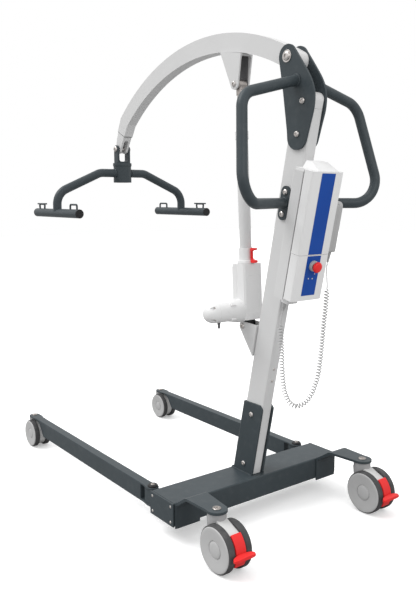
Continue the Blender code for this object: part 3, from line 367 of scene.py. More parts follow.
def rounded_profile(profile, radius, steps=3):
    """A turned profile whose inner corners are rounded by a small radius."""
    points = [(r, h, 0.0) for r, h in profile]
    path = [Vector(points[0])]
    for i in range(1, len(points) - 1):
        before, corner, after = (Vector(p) for p in points[i - 1:i + 2])
        near = min((before - corner).length, (after - corner).length)
        angle = (before - corner).angle(after - corner)
        if angle > math.radians(172) or near < radius * 0.2:
            path.append(corner)
            continue
        fit = min(radius, near * 0.45 * math.tan(angle / 2))
        path += corner_arc(before, corner, after, fit, steps)
    path.append(Vector(points[-1]))
    return [(max(0.0, p.x), p.y) for p in path]


def closed_profile(profile, radius, steps=3):
    rounded = rounded_profile(profile, radius, steps)
    return rounded + [rounded[0]]


def curve_mesh(name, curve, at):
    """The mesh of a curve, with its caps welded."""
    obj = add_object(name + "_curve", curve, at)
    mesh = evaluated_mesh(obj)
    bpy.data.objects.remove(obj, do_unlink=True)
    bm = bmesh.new()
    bm.from_mesh(mesh)
    bmesh.ops.remove_doubles(bm, verts=bm.verts, dist=0.000005)
    bmesh.ops.recalc_face_normals(bm, faces=bm.faces)
    bm.to_mesh(mesh)
    bm.free()
    return add_object(name, mesh, at)


PLANE_TURN = {'XY': Matrix.Identity(4),
              'YZ': Matrix.Rotation(math.pi / 2, 4, 'Z') @ Matrix.Rotation(math.pi / 2, 4, 'X'),
              'XZ': Matrix.Rotation(math.pi / 2, 4, 'X')}
PLANE_SIGN = {'XY': (0, 0, 1), 'YZ': (1, 0, 0), 'XZ': (0, 1, 0)}


def prism(name, outline, plane, low, high, at=DESIGN, edge=0.0, segments=3):
    """A flat outline in a plane, made solid from low to high along the third axis."""
    curve = bpy.data.curves.new(name, 'CURVE')
    curve.dimensions = '2D'
    curve.fill_mode = 'BOTH'
    curve.extrude = (high - low) / 2
    spline = curve.splines.new('POLY')
    spline.points.add(len(outline) - 1)
    for point, (u, v) in zip(spline.points, outline):
        point.co = (u, v, 0.0, 1.0)
    spline.use_cyclic_u = True
    middle = Vector(PLANE_SIGN[plane]) * ((low + high) / 2)
    obj = curve_mesh(name, curve, at @ shift(middle) @ PLANE_TURN[plane])
    if edge:
        soften(obj, edge, segments)
    return obj


def corner_arc(before, corner, after, radius, steps):
    """Points of the arc of a radius that rounds the corner of a path."""
    corner = Vector(corner)
    to_before = (Vector(before) - corner).normalized()
    to_after = (Vector(after) - corner).normalized()
    half = to_before.angle(to_after) / 2
    centre = corner + (to_before + to_after).normalized() * (radius / math.sin(half))
    start = corner + to_before * (radius / math.tan(half)) - centre
    end = corner + to_after * (radius / math.tan(half)) - centre
    sweep = start.angle(end)
    points = []
    for i in range(steps + 1):
        t = i / steps
        mixed = start * math.sin((1 - t) * sweep) + end * math.sin(t * sweep)
        points.append(centre + mixed / math.sin(sweep))
    return points


def rounded_path(points, radii, steps=14):
    path = [Vector(points[0])]
    for i, radius in enumerate(radii, start=1):
        path += corner_arc(points[i - 1], points[i], points[i + 1], radius, steps)
    path.append(Vector(points[-1]))
    return path


def rounded_outline(points, radii, steps=6):
    """A closed flat outline with rounded corners; a radius of 0 keeps a corner sharp."""
    outline = []
    count = len(points)
    for i, radius in enumerate(radii):
        if radius == 0:
            outline.append(points[i])
            continue
        before, corner, after = ((*points[k % count], 0.0) for k in (i - 1, i, i + 1))
        outline += [(p.x, p.y) for p in corner_arc(before, corner, after, radius, steps)]
    return outline


def arc(centre, radius, start, end, steps):
    """Points on a flat arc, angles in degrees."""
    points = []
    for i in range(steps + 1):
        angle = math.radians(start + (end - start) * i / steps)
        points.append((centre[0] + radius * math.cos(angle), centre[1] + radius * math.sin(angle)))
    return points


def round_curve(name, path, radius, resolution):
    curve = bpy.data.curves.new(name, 'CURVE')
    curve.dimensions = '3D'
    curve.bevel_depth = radius
    curve.bevel_resolution = resolution
    curve.use_fill_caps = True
    spline = curve.splines.new('POLY')
    spline.points.add(len(path) - 1)
    for point, place in zip(spline.points, path):
        point.co = (*place, 1.0)
    return curve


def tube(name, path, radius, at=DESIGN, resolution=7):
    return curve_mesh(name, round_curve(name, path, radius, resolution), at)


def soften(obj, width, segments=3, angle=38.0):
    """Round an object's sharp edges."""
    bevel = obj.modifiers.new("Edge", 'BEVEL')
    bevel.width = width
    bevel.segments = segments
    bevel.limit_method = 'ANGLE'
    bevel.angle_limit = math.radians(angle)
    return settle(obj)


def combine(obj, operation, *others):
    """Cut the other shapes from an object, join them to it or keep what they share."""
    for other in others:
        modifier = obj.modifiers.new("Combine", 'BOOLEAN')
        modifier.operation = operation
        modifier.solver = 'EXACT'
        modifier.object = other
    settle(obj)
    for other in others:
        bpy.data.objects.remove(other, do_unlink=True)
    return obj


def crossed(name, side_view, plan, edge, segments, angle=38.0):
    """What two prisms share, with rounded edges; each is given by a prism's own arguments."""
    obj = prism(name, *side_view)
    combine(obj, 'INTERSECT', prism(name + "_plan", *plan))
    return soften(obj, edge, segments, angle)


def cut(obj, *others):
    return combine(obj, 'DIFFERENCE', *others)


def join(obj, *others):
    return combine(obj, 'UNION', *others)


def gather(name, objects):
    """One object that holds several separate shapes."""
    bm = bmesh.new()
    for obj in objects:
        mesh = obj.data.copy()
        mesh.transform(obj.matrix_world)
        bm.from_mesh(mesh)
        bpy.data.meshes.remove(mesh)
        bpy.data.objects.remove(obj, do_unlink=True)
    return from_bmesh(name, bm, Matrix.Identity(4))


def finished(obj, material, body, stands_for=(), sharp=32.0, slot=None):
    """Give a piece its material and shading and let it ride on its body."""
    slot = slot or SLOT_OF.get(material)
    obj.data.materials.clear()
    obj.data.materials.append(MATERIALS[material])
    obj.data.shade_smooth()
    obj.data.set_sharp_from_angle(angle=math.radians(sharp))
    weighted = obj.modifiers.new("Normals", 'WEIGHTED_NORMAL')
    weighted.keep_sharp = True
    weighted.weight = 80
    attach(obj, body)
    if stands_for:
        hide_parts(*stands_for)
    return obj


def socket_head(name, radius, height, centre, axis, flip, at):
    """A low domed screw head with a hexagon socket, standing on a face along an axis."""
    profile = [(0.0, height), (radius * 0.55, height * 0.97), (radius * 0.82, height * 0.78),
               (radius * 0.97, height * 0.42), (radius, height * 0.12), (radius * 0.98, 0.0), (0.0, 0.0)]
    place = at @ shift(centre) @ facing(axis, -1 if flip else 1)
    head = turned(name, profile, at=place, sides=36)
    hexagon = cylinder(name + "_hex", radius * 0.46, height, (0, 0, height * 1.02), 'Z', place, 6)
    return cut(head, hexagon)


def socket_heads(name, places, radius, height, body, at=DESIGN, material="steel", stands_for=()):
    """Several screw heads as one piece; a place is (centre, axis, flip)."""
    heads = [socket_head(f"{name}_{i}", radius, height, *place, at) for i, place in enumerate(places)]
    return finished(gather(name, heads), material, body, stands_for)


def both_ends(centre, half):
    """Places of a bolt's two heads on faces at x = +half and x = -half."""
    _, y, z = centre
    return [((half, y, z), 'X', False), ((-half, y, z), 'X', True)]


def mast_front(z):
    """Where the mast's front face stands at a height, in the design's y."""
    return MAST_FOOT_Y + z * math.tan(LEAN) - MAST_HALF_N / math.cos(LEAN)


# ---------------------------------------------------------------- camera and cord

def build_camera():
    camera = bpy.data.objects.new("camera", bpy.data.cameras.new("camera"))
    camera.data.lens = CAMERA_LENS
    camera.data.sensor_width = CAMERA_SENSOR
    camera.location = CAMERA_PLACE
    camera.rotation_euler = (math.radians(90 - CAMERA_DOWN), 0.0, math.radians(CAMERA_TURN))
    camera.data.clip_start = 0.05
    camera.data.clip_end = 60.0
    bpy.context.scene.collection.objects.link(camera)
    bpy.context.scene.camera = camera


def smooth_route(points, spacing):
    """Evenly spaced points on the smooth curve through a route's own points."""
    dense = []
    padded = [points[0]] + list(points) + [points[-1]]
    for i in range(1, len(padded) - 2):
        p0, p1, p2, p3 = (Vector(p) for p in padded[i - 1:i + 3])
        for k in range(16):
            t = k / 16
            dense.append(0.5 * (2 * p1 + (p2 - p0) * t + (2 * p0 - 5 * p1 + 4 * p2 - p3) * t * t
                                + (3 * p1 - p0 - 3 * p2 + p3) * t * t * t))
    dense.append(Vector(points[-1]))
    total = sum((b - a).length for a, b in zip(dense, dense[1:]))
    count = max(2, round(total / spacing))
    step = total / count
    route = [dense[0]]
    walked = 0.0
    for a, b in zip(dense, dense[1:]):
        span = (b - a).length
        while span > 0 and walked + span >= step * len(route) - 1e-9 and len(route) < count:
            route.append(a.lerp(b, (step * len(route) - walked) / span))
        walked += span
    route.append(dense[-1])
    return route


def smooth_flat(points, spacing):
    return [(p.x, p.y) for p in smooth_route([(u, v, 0.0) for u, v in points], spacing)]


UPPER_LEAD = [(-0.079, 0.2846, 0.7629), (-0.079, 0.2829, 0.7551), (-0.0786, 0.283, 0.742),
              (-0.0778, 0.285, 0.725), (-0.077, 0.2868, 0.71), (-0.0763, 0.2881, 0.698)]
COIL_ROUTE = [(-0.076, 0.2884, 0.695), (-0.072, 0.2885, 0.645), (-0.0666, 0.2875, 0.595),
              (-0.0626, 0.2862, 0.54), (-0.059, 0.285, 0.495), (-0.0535, 0.283, 0.452),
              (-0.045, 0.278, 0.418), (-0.035, 0.269, 0.388), (-0.0215, 0.257, 0.369),
              (-0.0065, 0.244, 0.364), (0.007, 0.233, 0.376), (0.0165, 0.226, 0.402),
              (0.0212, 0.2225, 0.435), (0.0238, 0.2205, 0.475), (0.0254, 0.2192, 0.52),
              (0.0262, 0.2178, 0.56), (0.0266, 0.2165, 0.595)]
LOWER_LEAD = [(0.0267, 0.2163, 0.5975), (0.0262, 0.2152, 0.6045), (0.0238, 0.2132, 0.6125),
              (0.0198, 0.2114, 0.6205), (0.0168, 0.2115, 0.6275), (0.016, 0.213, 0.6329)]


def coil_points(centre_line, turns, radius):
    """A helix round a centre line, which opens from and closes to the line at its ends."""
    per_turn = 14
    count = turns * per_turn
    total = len(centre_line) - 1
    side = Vector((1.0, 0.0, 0.0))
    points = []
    for i in range(count + 1):
        along = i / count * total
        k = min(int(along), total - 1)
        place = centre_line[k].lerp(centre_line[k + 1], along - k)
        ahead = (centre_line[min(k + 2, total)] - centre_line[max(k - 1, 0)]).normalized()
        side = (side - ahead * side.dot(ahead)).normalized()
        other = ahead.cross(side)
        edge = min(i, count - i) / per_turn
        reach = radius * min(1.0, edge * 0.9)
        angle = 2 * math.pi * i / per_turn
        points.append(place + (side * math.cos(angle) + other * math.sin(angle)) * reach)
    return points


def build_cord():
    """The handset's coiled cord, from its strain relief to the plug under the control box."""
    upper = smooth_route(UPPER_LEAD, 0.003)
    lower = smooth_route(LOWER_LEAD, 0.003)
    coil = coil_points(smooth_route(COIL_ROUTE, 0.004), COIL_TURNS, COIL_R)
    path = upper + coil[1:] + lower[1:]
    curve = round_curve("handset_cord", path, CORD_D / 2, 2)
    cord = add_object("handset_cord", curve, DESIGN)
    curve.materials.append(MATERIALS["cord"])
    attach(cord, "root")
    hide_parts("handset_cord_upper_lead", "handset_cord_coil", "handset_cord_lower_lead")
    plug = build_plug()


def build_plug():
    """Moulded plug at the cord's lower end, and the ribbed relief at the handset."""
    px, ps, pn = 0.016, 0.68, 0.05
    top = ps - SKIN
    profile = [(0.0, top), (0.005, top), (0.005, top - 0.003), (0.0058, top - 0.0035),
               (0.0058, top - 0.013), (0.0042, top - 0.0155)]
    for i in range(3):
        low = top - 0.0165 - 0.0019 * i
        profile += [(0.0032, low), (0.0036, low - 0.0005), (0.0036, low - 0.0012), (0.003, low - 0.0014)]
    profile.append((0.0, top - 0.0217))
    plug = turned("handset_plug_body", profile, (px, pn, 0), 'Z', MAST, 40)
    finished(plug, "cord", "root", ["handset_plug"])
    relief_top = HANDSET_S[0] - SKIN
    relief = [(0.0, relief_top), (0.005, relief_top)]
    for i in range(8):
        h = relief_top - 0.002 - i * 0.0036
        r = 0.005 - i * 0.00034
        relief += [(r, h), (r, h - 0.0022), (r - 0.0012, h - 0.0026), (r - 0.0012, h - 0.0034)]
    relief.append((0.0, relief_top - 0.0325))
    sleeve = turned("handset_relief_ribbed", relief, (-0.079, 0.093, 0), 'Z', MAST, 32)
    finished(sleeve, "cord", "root", ["handset_strain_relief"])
    return plug


# ---------------------------------------------------------------- base

def build_crossbar():
    low, high = CROSSBAR_LOW - Vector((0, FRONT_Y, 0)), CROSSBAR_HIGH - Vector((0, FRONT_Y, 0))
    corners = [(low.y, low.z), (high.y, low.z), (high.y, high.z), (low.y, high.z)]
    section = rounded_outline(corners, (0.0045,) * 4, 5)
    bar = prism("crossbar_tube", section, 'YZ', low.x, high.x, edge=0.0006, segments=2)
    finished(bar, "anthracite", "root", ["base_crossbar"])
    for side, sign in SIDES:
        plate_low, plate_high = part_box("crossbar_end_plate_" + side)
        plate = box("crossbar_end_cover_" + side, plate_low, plate_high, Matrix.Identity(4), 0.0011)
        finished(plate, "anthracite", "root", ["crossbar_end_plate_" + side])
        face = sign * (high.x + 0.0053)
        spots = [((face, y, z), 'X', sign < 0) for y in (0.012, 0.102) for z in (0.062, 0.1065)]
        socket_heads("crossbar_end_screws_" + side, spots, 0.004, 0.002, "root")
        build_hinge_block(side, sign)
        build_castor_bracket(side, sign)


def build_hinge_block(side, sign):
    leg_x = abs(joint_place("leg_left_spread").x)
    half = 0.0145
    low = LEG_BOTTOM + LEG_TONGUE + SKIN
    high = LEG_TOP - LEG_TONGUE - SKIN
    outline = rounded_outline([(-half, -0.0003), (-half, -0.061), (half, -0.061), (half, -0.0003)],
                              (0, 0.0085, 0.0085, 0), 7)
    outline = [(sign * leg_x + u, v) for u, v in outline]
    block = prism("leg_hinge_knuckle_" + side, outline, 'XY', low, high, edge=0.001)
    bead = box("leg_hinge_weld_" + side, (sign * leg_x - 0.0165, -0.003, low),
               (sign * leg_x + 0.0165, -0.0002, high), edge=0.0013)
    join(block, bead)
    finished(block, "anthracite", "root", ["leg_hinge_block_" + side])


def build_castor_bracket(side, sign):
    size = REAR_CASTOR
    castor = joint_place(f"rear_castor_{side}_swivel") - Vector((0, FRONT_Y, 0))
    back = 0.1143
    top = size["seat"] + size["plate"]
    plate = size["plate"]
    end = castor.y + 0.03
    side_view = rounded_outline([(back, 0.0455), (back + 0.004, 0.0455), (back + 0.004, 0.1105),
                                 (0.165, top - plate), (end, top - plate), (end, top), (0.16, top),
                                 (back, 0.1178)], (0, 0, 0.01, 0.02, 0, 0, 0.02, 0.0), 5)
    inner = 0.228
    outer = 0.315
    plan = [(outer, 0.104)] + arc((abs(castor.x), castor.y), 0.0285, -20, 180, 40)
    plan += [(inner + 0.015, 0.17), (inner, 0.104)]
    plan = [(sign * u, v) for u, v in plan]
    bracket = crossed("castor_arm_" + side, (side_view, 'YZ', sign * 0.27 - 0.06, sign * 0.27 + 0.06),
                      (plan, 'XY', 0.03, 0.18), 0.0012, 2)
    finished(bracket, "anthracite", "root", ["rear_castor_bracket_" + side])


# ---------------------------------------------------------------- castors

def build_castor(name, body, wheels, place, size, pedal=None):
    """Twin-wheel castor with hooded body, swivel housing, tyres, discs and hub caps."""
    at = shift((place.x, place.y, 0))
    radius = size["radius"]
    trail = size["trail"]
    body_r = radius - HOOD_INSET
    seat = size["seat"] - 0.0008
    neck = size["neck"]
    half = size["body"]
    low = 2 * radius + 0.0008
    outline = arc((trail, radius), body_r, -200, 52, 60)
    outline += [(neck * 0.86, low + 0.001), (-neck * 0.86, low + 0.001)]
    hood = prism(name + "_hood", outline, 'YZ', -half, half, at, 0.0018, 3)
    cut(hood, cylinder("axle_room", radius * 0.12 + 0.0006, 0.1, (0, trail, radius), 'X', at))
    finished(hood, "castor_body", body, [name + "_body"], 40.0)

    reach = low - radius * 0.3
    ring = rounded_profile([(0.0, seat), (neck, seat), (neck, seat - 0.0035), (neck - 0.0007, seat - 0.004),
                            (neck - 0.0007, seat - 0.0046), (neck, seat - 0.0052), (neck, reach),
                            (0.0, reach)], 0.0006, 2)
    housing = turned(name + "_swivel_housing", ring, at=at, sides=72)
    rooms = [cylinder(f"wheel_room_{k}", radius + 0.0009, 0.05, (k * (half + 0.0253), trail, radius), 'X',
                      at, 96) for k in (-1, 1)]
    cut(housing, *rooms)
    finished(housing, "castor_neck", body)
    top = size["seat"] + size["plate"] + 0.0004
    head = size["head"]
    rings = rounded_profile([(0.0, top + 0.0022), (head * 0.3, top + 0.0022), (head * 0.34, top + 0.0012),
                             (head * 0.58, top + 0.0012), (head * 0.62, top + 0.0024),
                             (head * 0.86, top + 0.0022), (head, top + 0.0008), (head, top), (0.0, top)],
                            0.0003)
    bolt = turned(name + "_stem_bolt", rings, at=at, sides=72)
    cut(bolt, cylinder("bolt_hex", head * 0.2, 0.01, (0, 0, top + 0.0052), 'Z', at, 6))
    finished(bolt, "zinc", body)
    stem = cylinder(name + "_stem", 0.006, size["plate"] + 0.0016, (0, 0, size["seat"] + size["plate"] / 2),
                    'Z', at)
    finished(stem, "steel", body)
    build_wheels(name, wheels, at, size)
    if pedal:
        build_pedal(name, pedal, at, size)


def build_wheels(name, body, at, size):
    """Two rubber tyres on nylon discs with a raised hub cap, on one axle."""
    radius = size["radius"]
    trail = size["trail"]
    half = size["half"]
    inner = size["body"] + 0.0008
    axle = (0, trail, radius)
    tyre_out = half - 0.0022
    rim = radius * 0.865
    tyre = rounded_profile([(rim, tyre_out), (radius * 0.955, tyre_out),
                            (radius, tyre_out - radius * 0.045), (radius, inner + radius * 0.045),
                            (radius * 0.955, inner), (rim, inner)], 0.0016, 4)
    tyre = [(rim, (tyre_out + inner) / 2)] + tyre + [(rim, (tyre_out + inner) / 2)]
    dish = radius * 0.055
    disc = [(0.0, half - 0.001), (radius * 0.2, half - 0.0013), (radius * 0.31, half - 0.002),
            (radius * 0.345, half - dish), (radius * 0.35, half - dish - 0.0016),
            (radius * 0.375, half - dish - 0.0016), (radius * 0.395, half - dish),
            (radius * 0.55, half - dish * 0.72), (radius * 0.78, half - dish * 0.22), (radius * 0.86, half),
            (radius * 0.915, half - 0.0004), (radius * 0.94, half - 0.0018), (radius * 0.945, half - 0.004),
            (rim - SKIN, half - 0.0045), (rim - SKIN, inner + 0.002), (radius * 0.8, inner + 0.0012),
            (radius * 0.3, inner + 0.0012), (radius * 0.26, inner), (0.0, inner)]
    tyres = []
    discs = []
    for flip in (False, True):
        mirror = Matrix.Rotation(math.pi, 4, 'Z') if flip else Matrix.Identity(4)
        place = at @ shift(axle) @ mirror
        tyres.append(turned(name + "_tyre_part", tyre, at=place @ AXIS_TURN['X'], sides=96))
        discs.append(turned(name + "_disc_part", disc, at=place @ AXIS_TURN['X'], sides=96))
    rod = cylinder(name + "_axle_part", radius * 0.12, 2 * inner + 0.002, axle, 'X', at)
    finished(gather(name + "_tyres", tyres), "tyre", body, [name + "_wheels"])
    finished(gather(name + "_discs", discs), "wheel_disc", body)
    finished(gather(name + "_axle", [rod]), "steel", body)


def foot_bar(name, reach, at):
    """A leaf-shaped bar across both wheels, thick in the middle and thin at its tips."""
    bm = bmesh.new()
    bmesh.ops.create_cube(bm, size=1.0)
    bmesh.ops.scale(bm, vec=(0.068, 0.0155, 0.0105), verts=bm.verts)
    bmesh.ops.subdivide_edges(bm, edges=bm.edges, cuts=15, use_grid_fill=True)
    for vert in bm.verts:
        along = min(1.0, abs(vert.co.x) / 0.034)
        shrink = math.sqrt(max(0.0, 1.0 - 0.86 * along ** 2.6))
        lift = vert.co.y / 0.0155
        vert.co.y = vert.co.y * shrink + 0.0035 * along ** 2
        vert.co.z = vert.co.z * (0.45 + 0.55 * shrink) * (1.0 - 0.45 * lift) - 0.0016 * lift
    bar = from_bmesh(name, bm, at @ shift((0, reach, 0)))
    smooth = bar.modifiers.new("Round", 'SUBSURF')
    smooth.levels = 1
    smooth.render_levels = 1
    settle(bar)
    return soften(bar, 0.0012, 2, 30.0)


def build_pedal(name, body, at, size):
    """Brake pedal: a strap round the hood with a swept foot bar across it."""
    radius = size["radius"]
    body_r = radius - HOOD_INSET
    half = size["body"] - 0.0006
    centre = at @ shift((0, size["trail"], radius))
    strap = arc((0, 0), radius + 0.0008, -30, 52, 28) + arc((0, 0), body_r + 0.0009, 52, -30, 28)
    pedal = prism(name + "_pedal", strap, 'YZ', -half, half, centre, 0.0016, 3)
    join(pedal, foot_bar(name + "_pedal_bar", radius + 0.009, centre))
    finished(pedal, "red", body, [name + "_brake_pedal"], 40.0)


# ---------------------------------------------------------------- legs

def build_leg(side):
    """Rectangular leg: forked at its pivot, swept up over the castor at its front."""
    body = "leg_" + side
    pivot = joint_place(f"leg_{side}_spread")
    castor = joint_place(f"front_castor_{side}_swivel")
    at = shift((pivot.x, pivot.y, 0))
    reach = castor.y - pivot.y
    under = FRONT_CASTOR["seat"]
    half = LEG_WIDTH / 2
    sweep = [(-0.788, under), (-0.77, under - 0.006), (-0.756, under - 0.019),
             (-0.745, under - 0.034), (-0.733, LEG_BOTTOM)]
    side_view = [(0.018, LEG_TOP), (reach - 0.022, LEG_TOP), (reach - 0.022, under)]
    side_view += smooth_flat(sweep, 0.004)
    side_view += rounded_outline(
        [(0.018, LEG_BOTTOM), (0.018, LEG_BOTTOM + LEG_TONGUE), (-0.0444, LEG_BOTTOM + LEG_TONGUE),
         (-0.0444, LEG_TOP - LEG_TONGUE), (0.018, LEG_TOP - LEG_TONGUE)], (0, 0, 0.003, 0.003, 0), 4)
    plan = arc((0, 0), 0.0175, 0, 180, 28)
    plan += [(-0.0175, -0.012), (-half, -0.03), (-half, reach + 0.045), (-0.0195, reach + 0.03)]
    plan += arc((0, reach), 0.0195, 180, 360, 28)
    plan += [(0.0195, reach + 0.03), (half, reach + 0.045), (half, -0.03), (0.0175, -0.012)]
    leg = crossed("leg_beam_" + side, (side_view, 'YZ', -0.02, 0.02, at),
                  (plan, 'XY', 0.03, 0.14, at), 0.0024, 4, 40.0)
    finished(leg, "anthracite", body, ["leg_" + side], 40.0)
    cap = LEG_TOP + SKIN
    profile = rounded_profile([(0.0, cap + 0.005), (0.0066, cap + 0.005), (0.0072, cap + 0.0064),
                               (0.0125, cap + 0.006), (0.015, cap + 0.0032), (0.0155, cap), (0.0, cap)],
                              0.0006)
    bush = turned("leg_pivot_cap_" + side, profile, at=at)
    finished(bush, "black_plastic", body, ["leg_pivot_bolt_" + side])
    socket_heads("leg_pivot_screw_" + side, [((0, 0, cap + 0.005), 'Z', False)], 0.0062, 0.0034, body, at,
                 "zinc")
    low = LEG_BOTTOM - SKIN
    nut = cylinder("leg_pivot_nut_" + side, 0.01, 0.0078, (0, 0, low - 0.0039), 'Z', at, 6)
    soften(nut, 0.0008, 2)
    shank = cylinder("leg_pivot_shank_" + side, 0.006, cap - low, (0, 0, (cap + low) / 2), 'Z', at)
    finished(gather("leg_pivot_nut_and_shank_" + side, [nut, shank]), "steel", body)
    name = "front_castor_" + side
    build_castor(name, name, "front_wheels_" + side, castor, FRONT_CASTOR)


# ---------------------------------------------------------------- mast

def build_mast():
    corner = 0.0052
    section = rounded_outline([(-MAST_HALF_X, -MAST_HALF_N), (MAST_HALF_X, -MAST_HALF_N),
                               (MAST_HALF_X, MAST_HALF_N), (-MAST_HALF_X, MAST_HALF_N)], (corner,) * 4, 6)
    column = prism("mast_column", section, 'XY', MAST_BOTTOM_S, MAST_TOP_S, MAST, 0.0005, 2)
    room = [(u * 0.83, v * 0.915) for u, v in section]
    cut(column, prism("mast_room", room, 'XY', MAST_BOTTOM_S - 0.01, MAST_TOP_S - 0.02, MAST))
    finished(column, "light_grey", "root", ["mast_tube"])
    low = MAST_TOP_S + SKIN
    cap_view = rounded_outline([(-MAST_HALF_N, low), (MAST_HALF_N, low),
                                (MAST_HALF_N, MAST_TOP_S + MAST_CAP),
                                (-MAST_HALF_N, MAST_TOP_S + MAST_CAP)], (0, 0, 0.024, 0.012), 12)
    cap = crossed("mast_top_cap", (cap_view, 'YZ', -0.03, 0.03, MAST),
                  (section, 'XY', low - 0.01, MAST_TOP_S + 0.06, MAST), 0.0022, 4, 50.0)
    finished(cap, "light_grey", "root", ["mast_cap"])
    low_s = [((0.0, MAST_HALF_N, s), 'Y', False) for s in (0.435, 0.472)]
    socket_heads("mast_rear_screws", low_s, 0.0042, 0.002, "root", MAST)
    build_socket()
    build_head_plates()


def build_socket():
    """Channel that wraps the mast's foot, with its weld to the crossbar and through bolts."""
    low = 0.1181
    shift = SOCKET_SKIN / math.cos(LEAN)
    corners = [(mast_front(low) - shift, low), (0.096, low), (0.1395, 0.33), (0.128, 0.342),
               (mast_front(0.342) - shift, 0.342)]
    outline = rounded_outline(corners, (0, 0, 0.007, 0.007, 0.005), 8)
    socket = prism("mast_socket_channel", outline, 'YZ', -SOCKET_HALF_X, SOCKET_HALF_X)
    section = rounded_outline([(-SOCKET_HALF_X, -MAST_HALF_N - SOCKET_SKIN),
                               (SOCKET_HALF_X, -MAST_HALF_N - SOCKET_SKIN), (SOCKET_HALF_X, 0.09),
                               (-SOCKET_HALF_X, 0.09)], (0.006, 0.006, 0, 0), 6)
    combine(socket, 'INTERSECT', prism("socket_wrap", section, 'XY', -0.1, 0.6, MAST))
    room = box("socket_room", (-MAST_HALF_X - SKIN, -MAST_HALF_N - SKIN, 0.0),
               (MAST_HALF_X + SKIN, 0.15, 0.6), MAST)
    cut(socket, room)
    soften(socket, 0.0009, 2, 45.0)
    finished(socket, "anthracite", "root", ["mast_socket"], 40.0)
    for label, s in (("lower", 0.15), ("upper", 0.3145)):
        socket_heads("mast_socket_screws_" + label, both_ends((0, 0, s), SOCKET_HALF_X + SKIN), 0.0078,
                     0.0046, "root", MAST, stands_for=["mast_socket_bolt_" + label])
    bead_path = [(-SOCKET_HALF_X - 0.0005, 0.096, low + 0.0004), (-SOCKET_HALF_X - 0.0005, 0.001,
                                                                  low + 0.0004), (SOCKET_HALF_X + 0.0005,
                                                                                  0.001, low + 0.0004),
                 (SOCKET_HALF_X + 0.0005, 0.096, low + 0.0004)]
    bead = tube("mast_socket_weld", rounded_path(bead_path, (0.006, 0.006), 6), 0.0018, resolution=3)
    finished(bead, "anthracite", "root")


def build_head_plates():
    pivot = (BOOM_PIVOT.y, BOOM_PIVOT.z)
    outline = arc(pivot, 0.0305, 35, 190, 40)
    outline += [(0.208, 1.215), (0.2245, 1.115)]
    outline += arc((0.261, 1.0985), 0.035, 190, 345, 40)
    rear = [(0.2948, 1.0894), (0.306, 1.125), (0.3185, 1.166), (0.32, 1.205), (0.308, 1.238),
            (0.285, 1.272), (0.2461, 1.3226)]
    outline += smooth_flat(rear, 0.006)[1:-1]
    for side, low, high in (("left", HEAD_PLATE_IN, HEAD_PLATE_OUT), ("right", -HEAD_PLATE_OUT,
                                                                      -HEAD_PLATE_IN)):
        plate = prism("head_cheek_" + side, outline, 'YZ', low, high, edge=0.0011, segments=3)
        finished(plate, "anthracite", "root", ["mast_head_plate_" + side], 40.0)
    face = HEAD_PLATE_OUT + SKIN
    for label, n, s in (("upper", 0.001, 1.2128), ("lower", 0.0, 1.1287)):
        socket_heads("mast_head_screws_" + label, both_ends((0, n, s), face), 0.0082, 0.0048, "root", MAST,
                     stands_for=["mast_head_bolt_" + label])
    washers = []
    for sign in (1, -1):
        profile = rounded_profile([(0.0, 0.0016), (0.016, 0.0016), (0.016, 0.0), (0.0, 0.0)], 0.0005)
        place = DESIGN @ shift((sign * face, *pivot)) @ facing('X', sign)
        washers.append(turned("pivot_washer", profile, at=place))
    shank = cylinder("pivot_shank", 0.008, 2 * face, (0, *pivot), 'X')
    finished(gather("boom_pivot_washers", washers + [shank]), "steel", "root", ["boom_pivot_bolt"])
    socket_heads("boom_pivot_heads", both_ends((0, *pivot), face + 0.0016), 0.012, 0.0052, "root")


def build_handle(side, sign):
    """Bent push handle with its welded ring at the head plate and screwed flange at the mast."""
    end = MAST @ Vector((0.0245, FLANGE_N, FLANGE_S))
    end_y = end.y - FRONT_Y
    path = rounded_path([HANDLE_TOP, HANDLE_UPPER, HANDLE_LOWER, (0.0185, end_y - 0.0015, end.z)],
                        (0.055, 0.066), 22)
    path = [(sign * p.x, p.y, p.z) for p in path]
    handle = tube("push_handle_tube_" + side, path, HANDLE_R, resolution=10)
    face = HEAD_PLATE_OUT + SKIN
    mast_face = MAST_HALF_X + SKIN
    trims = []
    for low, high, edge in ((1.1, 1.35, face), (0.8, 1.05, mast_face + 0.001)):
        ends = sorted((sign * edge, -sign * 0.05))
        trims.append(box("trim", (ends[0], 0.1, low), (ends[1], 0.4, high)))
    cut(handle, *trims)
    finished(handle, "anthracite", "root", ["push_handle_" + side])
    turn = facing('X', sign)
    ring = rounded_profile([(0.0, 0.0036), (HANDLE_R + 0.0012, 0.0036), (HANDLE_R + 0.004, 0.0),
                            (0.0, 0.0)], 0.0012)
    weld = turned("push_handle_weld_" + side, ring, at=DESIGN @ shift((sign * face, 0.2552, 1.24)) @ turn)
    finished(weld, "anthracite", "root")
    outline = arc((FLANGE_N, FLANGE_S + FLANGE_BOLT), 0.0165, 0, 180, 24)
    outline += arc((FLANGE_N, FLANGE_S - FLANGE_BOLT), 0.0165, 180, 360, 24)
    lows = sorted((sign * mast_face, sign * (mast_face + 0.005)))
    flange = prism("push_handle_flange_" + side, outline, 'YZ', *lows, MAST, 0.001, 3)
    collar = turned("collar", ring, at=MAST @ shift((sign * (mast_face + 0.0045), FLANGE_N,
                                                     FLANGE_S)) @ turn)
    join(flange, collar)
    finished(flange, "anthracite", "root")
    out = sign * (mast_face + 0.0052)
    spots = [((out, FLANGE_N, FLANGE_S + step), 'X', sign < 0) for step in (-FLANGE_BOLT, FLANGE_BOLT)]
    socket_heads("push_handle_screws_" + side, spots, 0.0082, 0.0046, "root", MAST)


# ---------------------------------------------------------------- boom

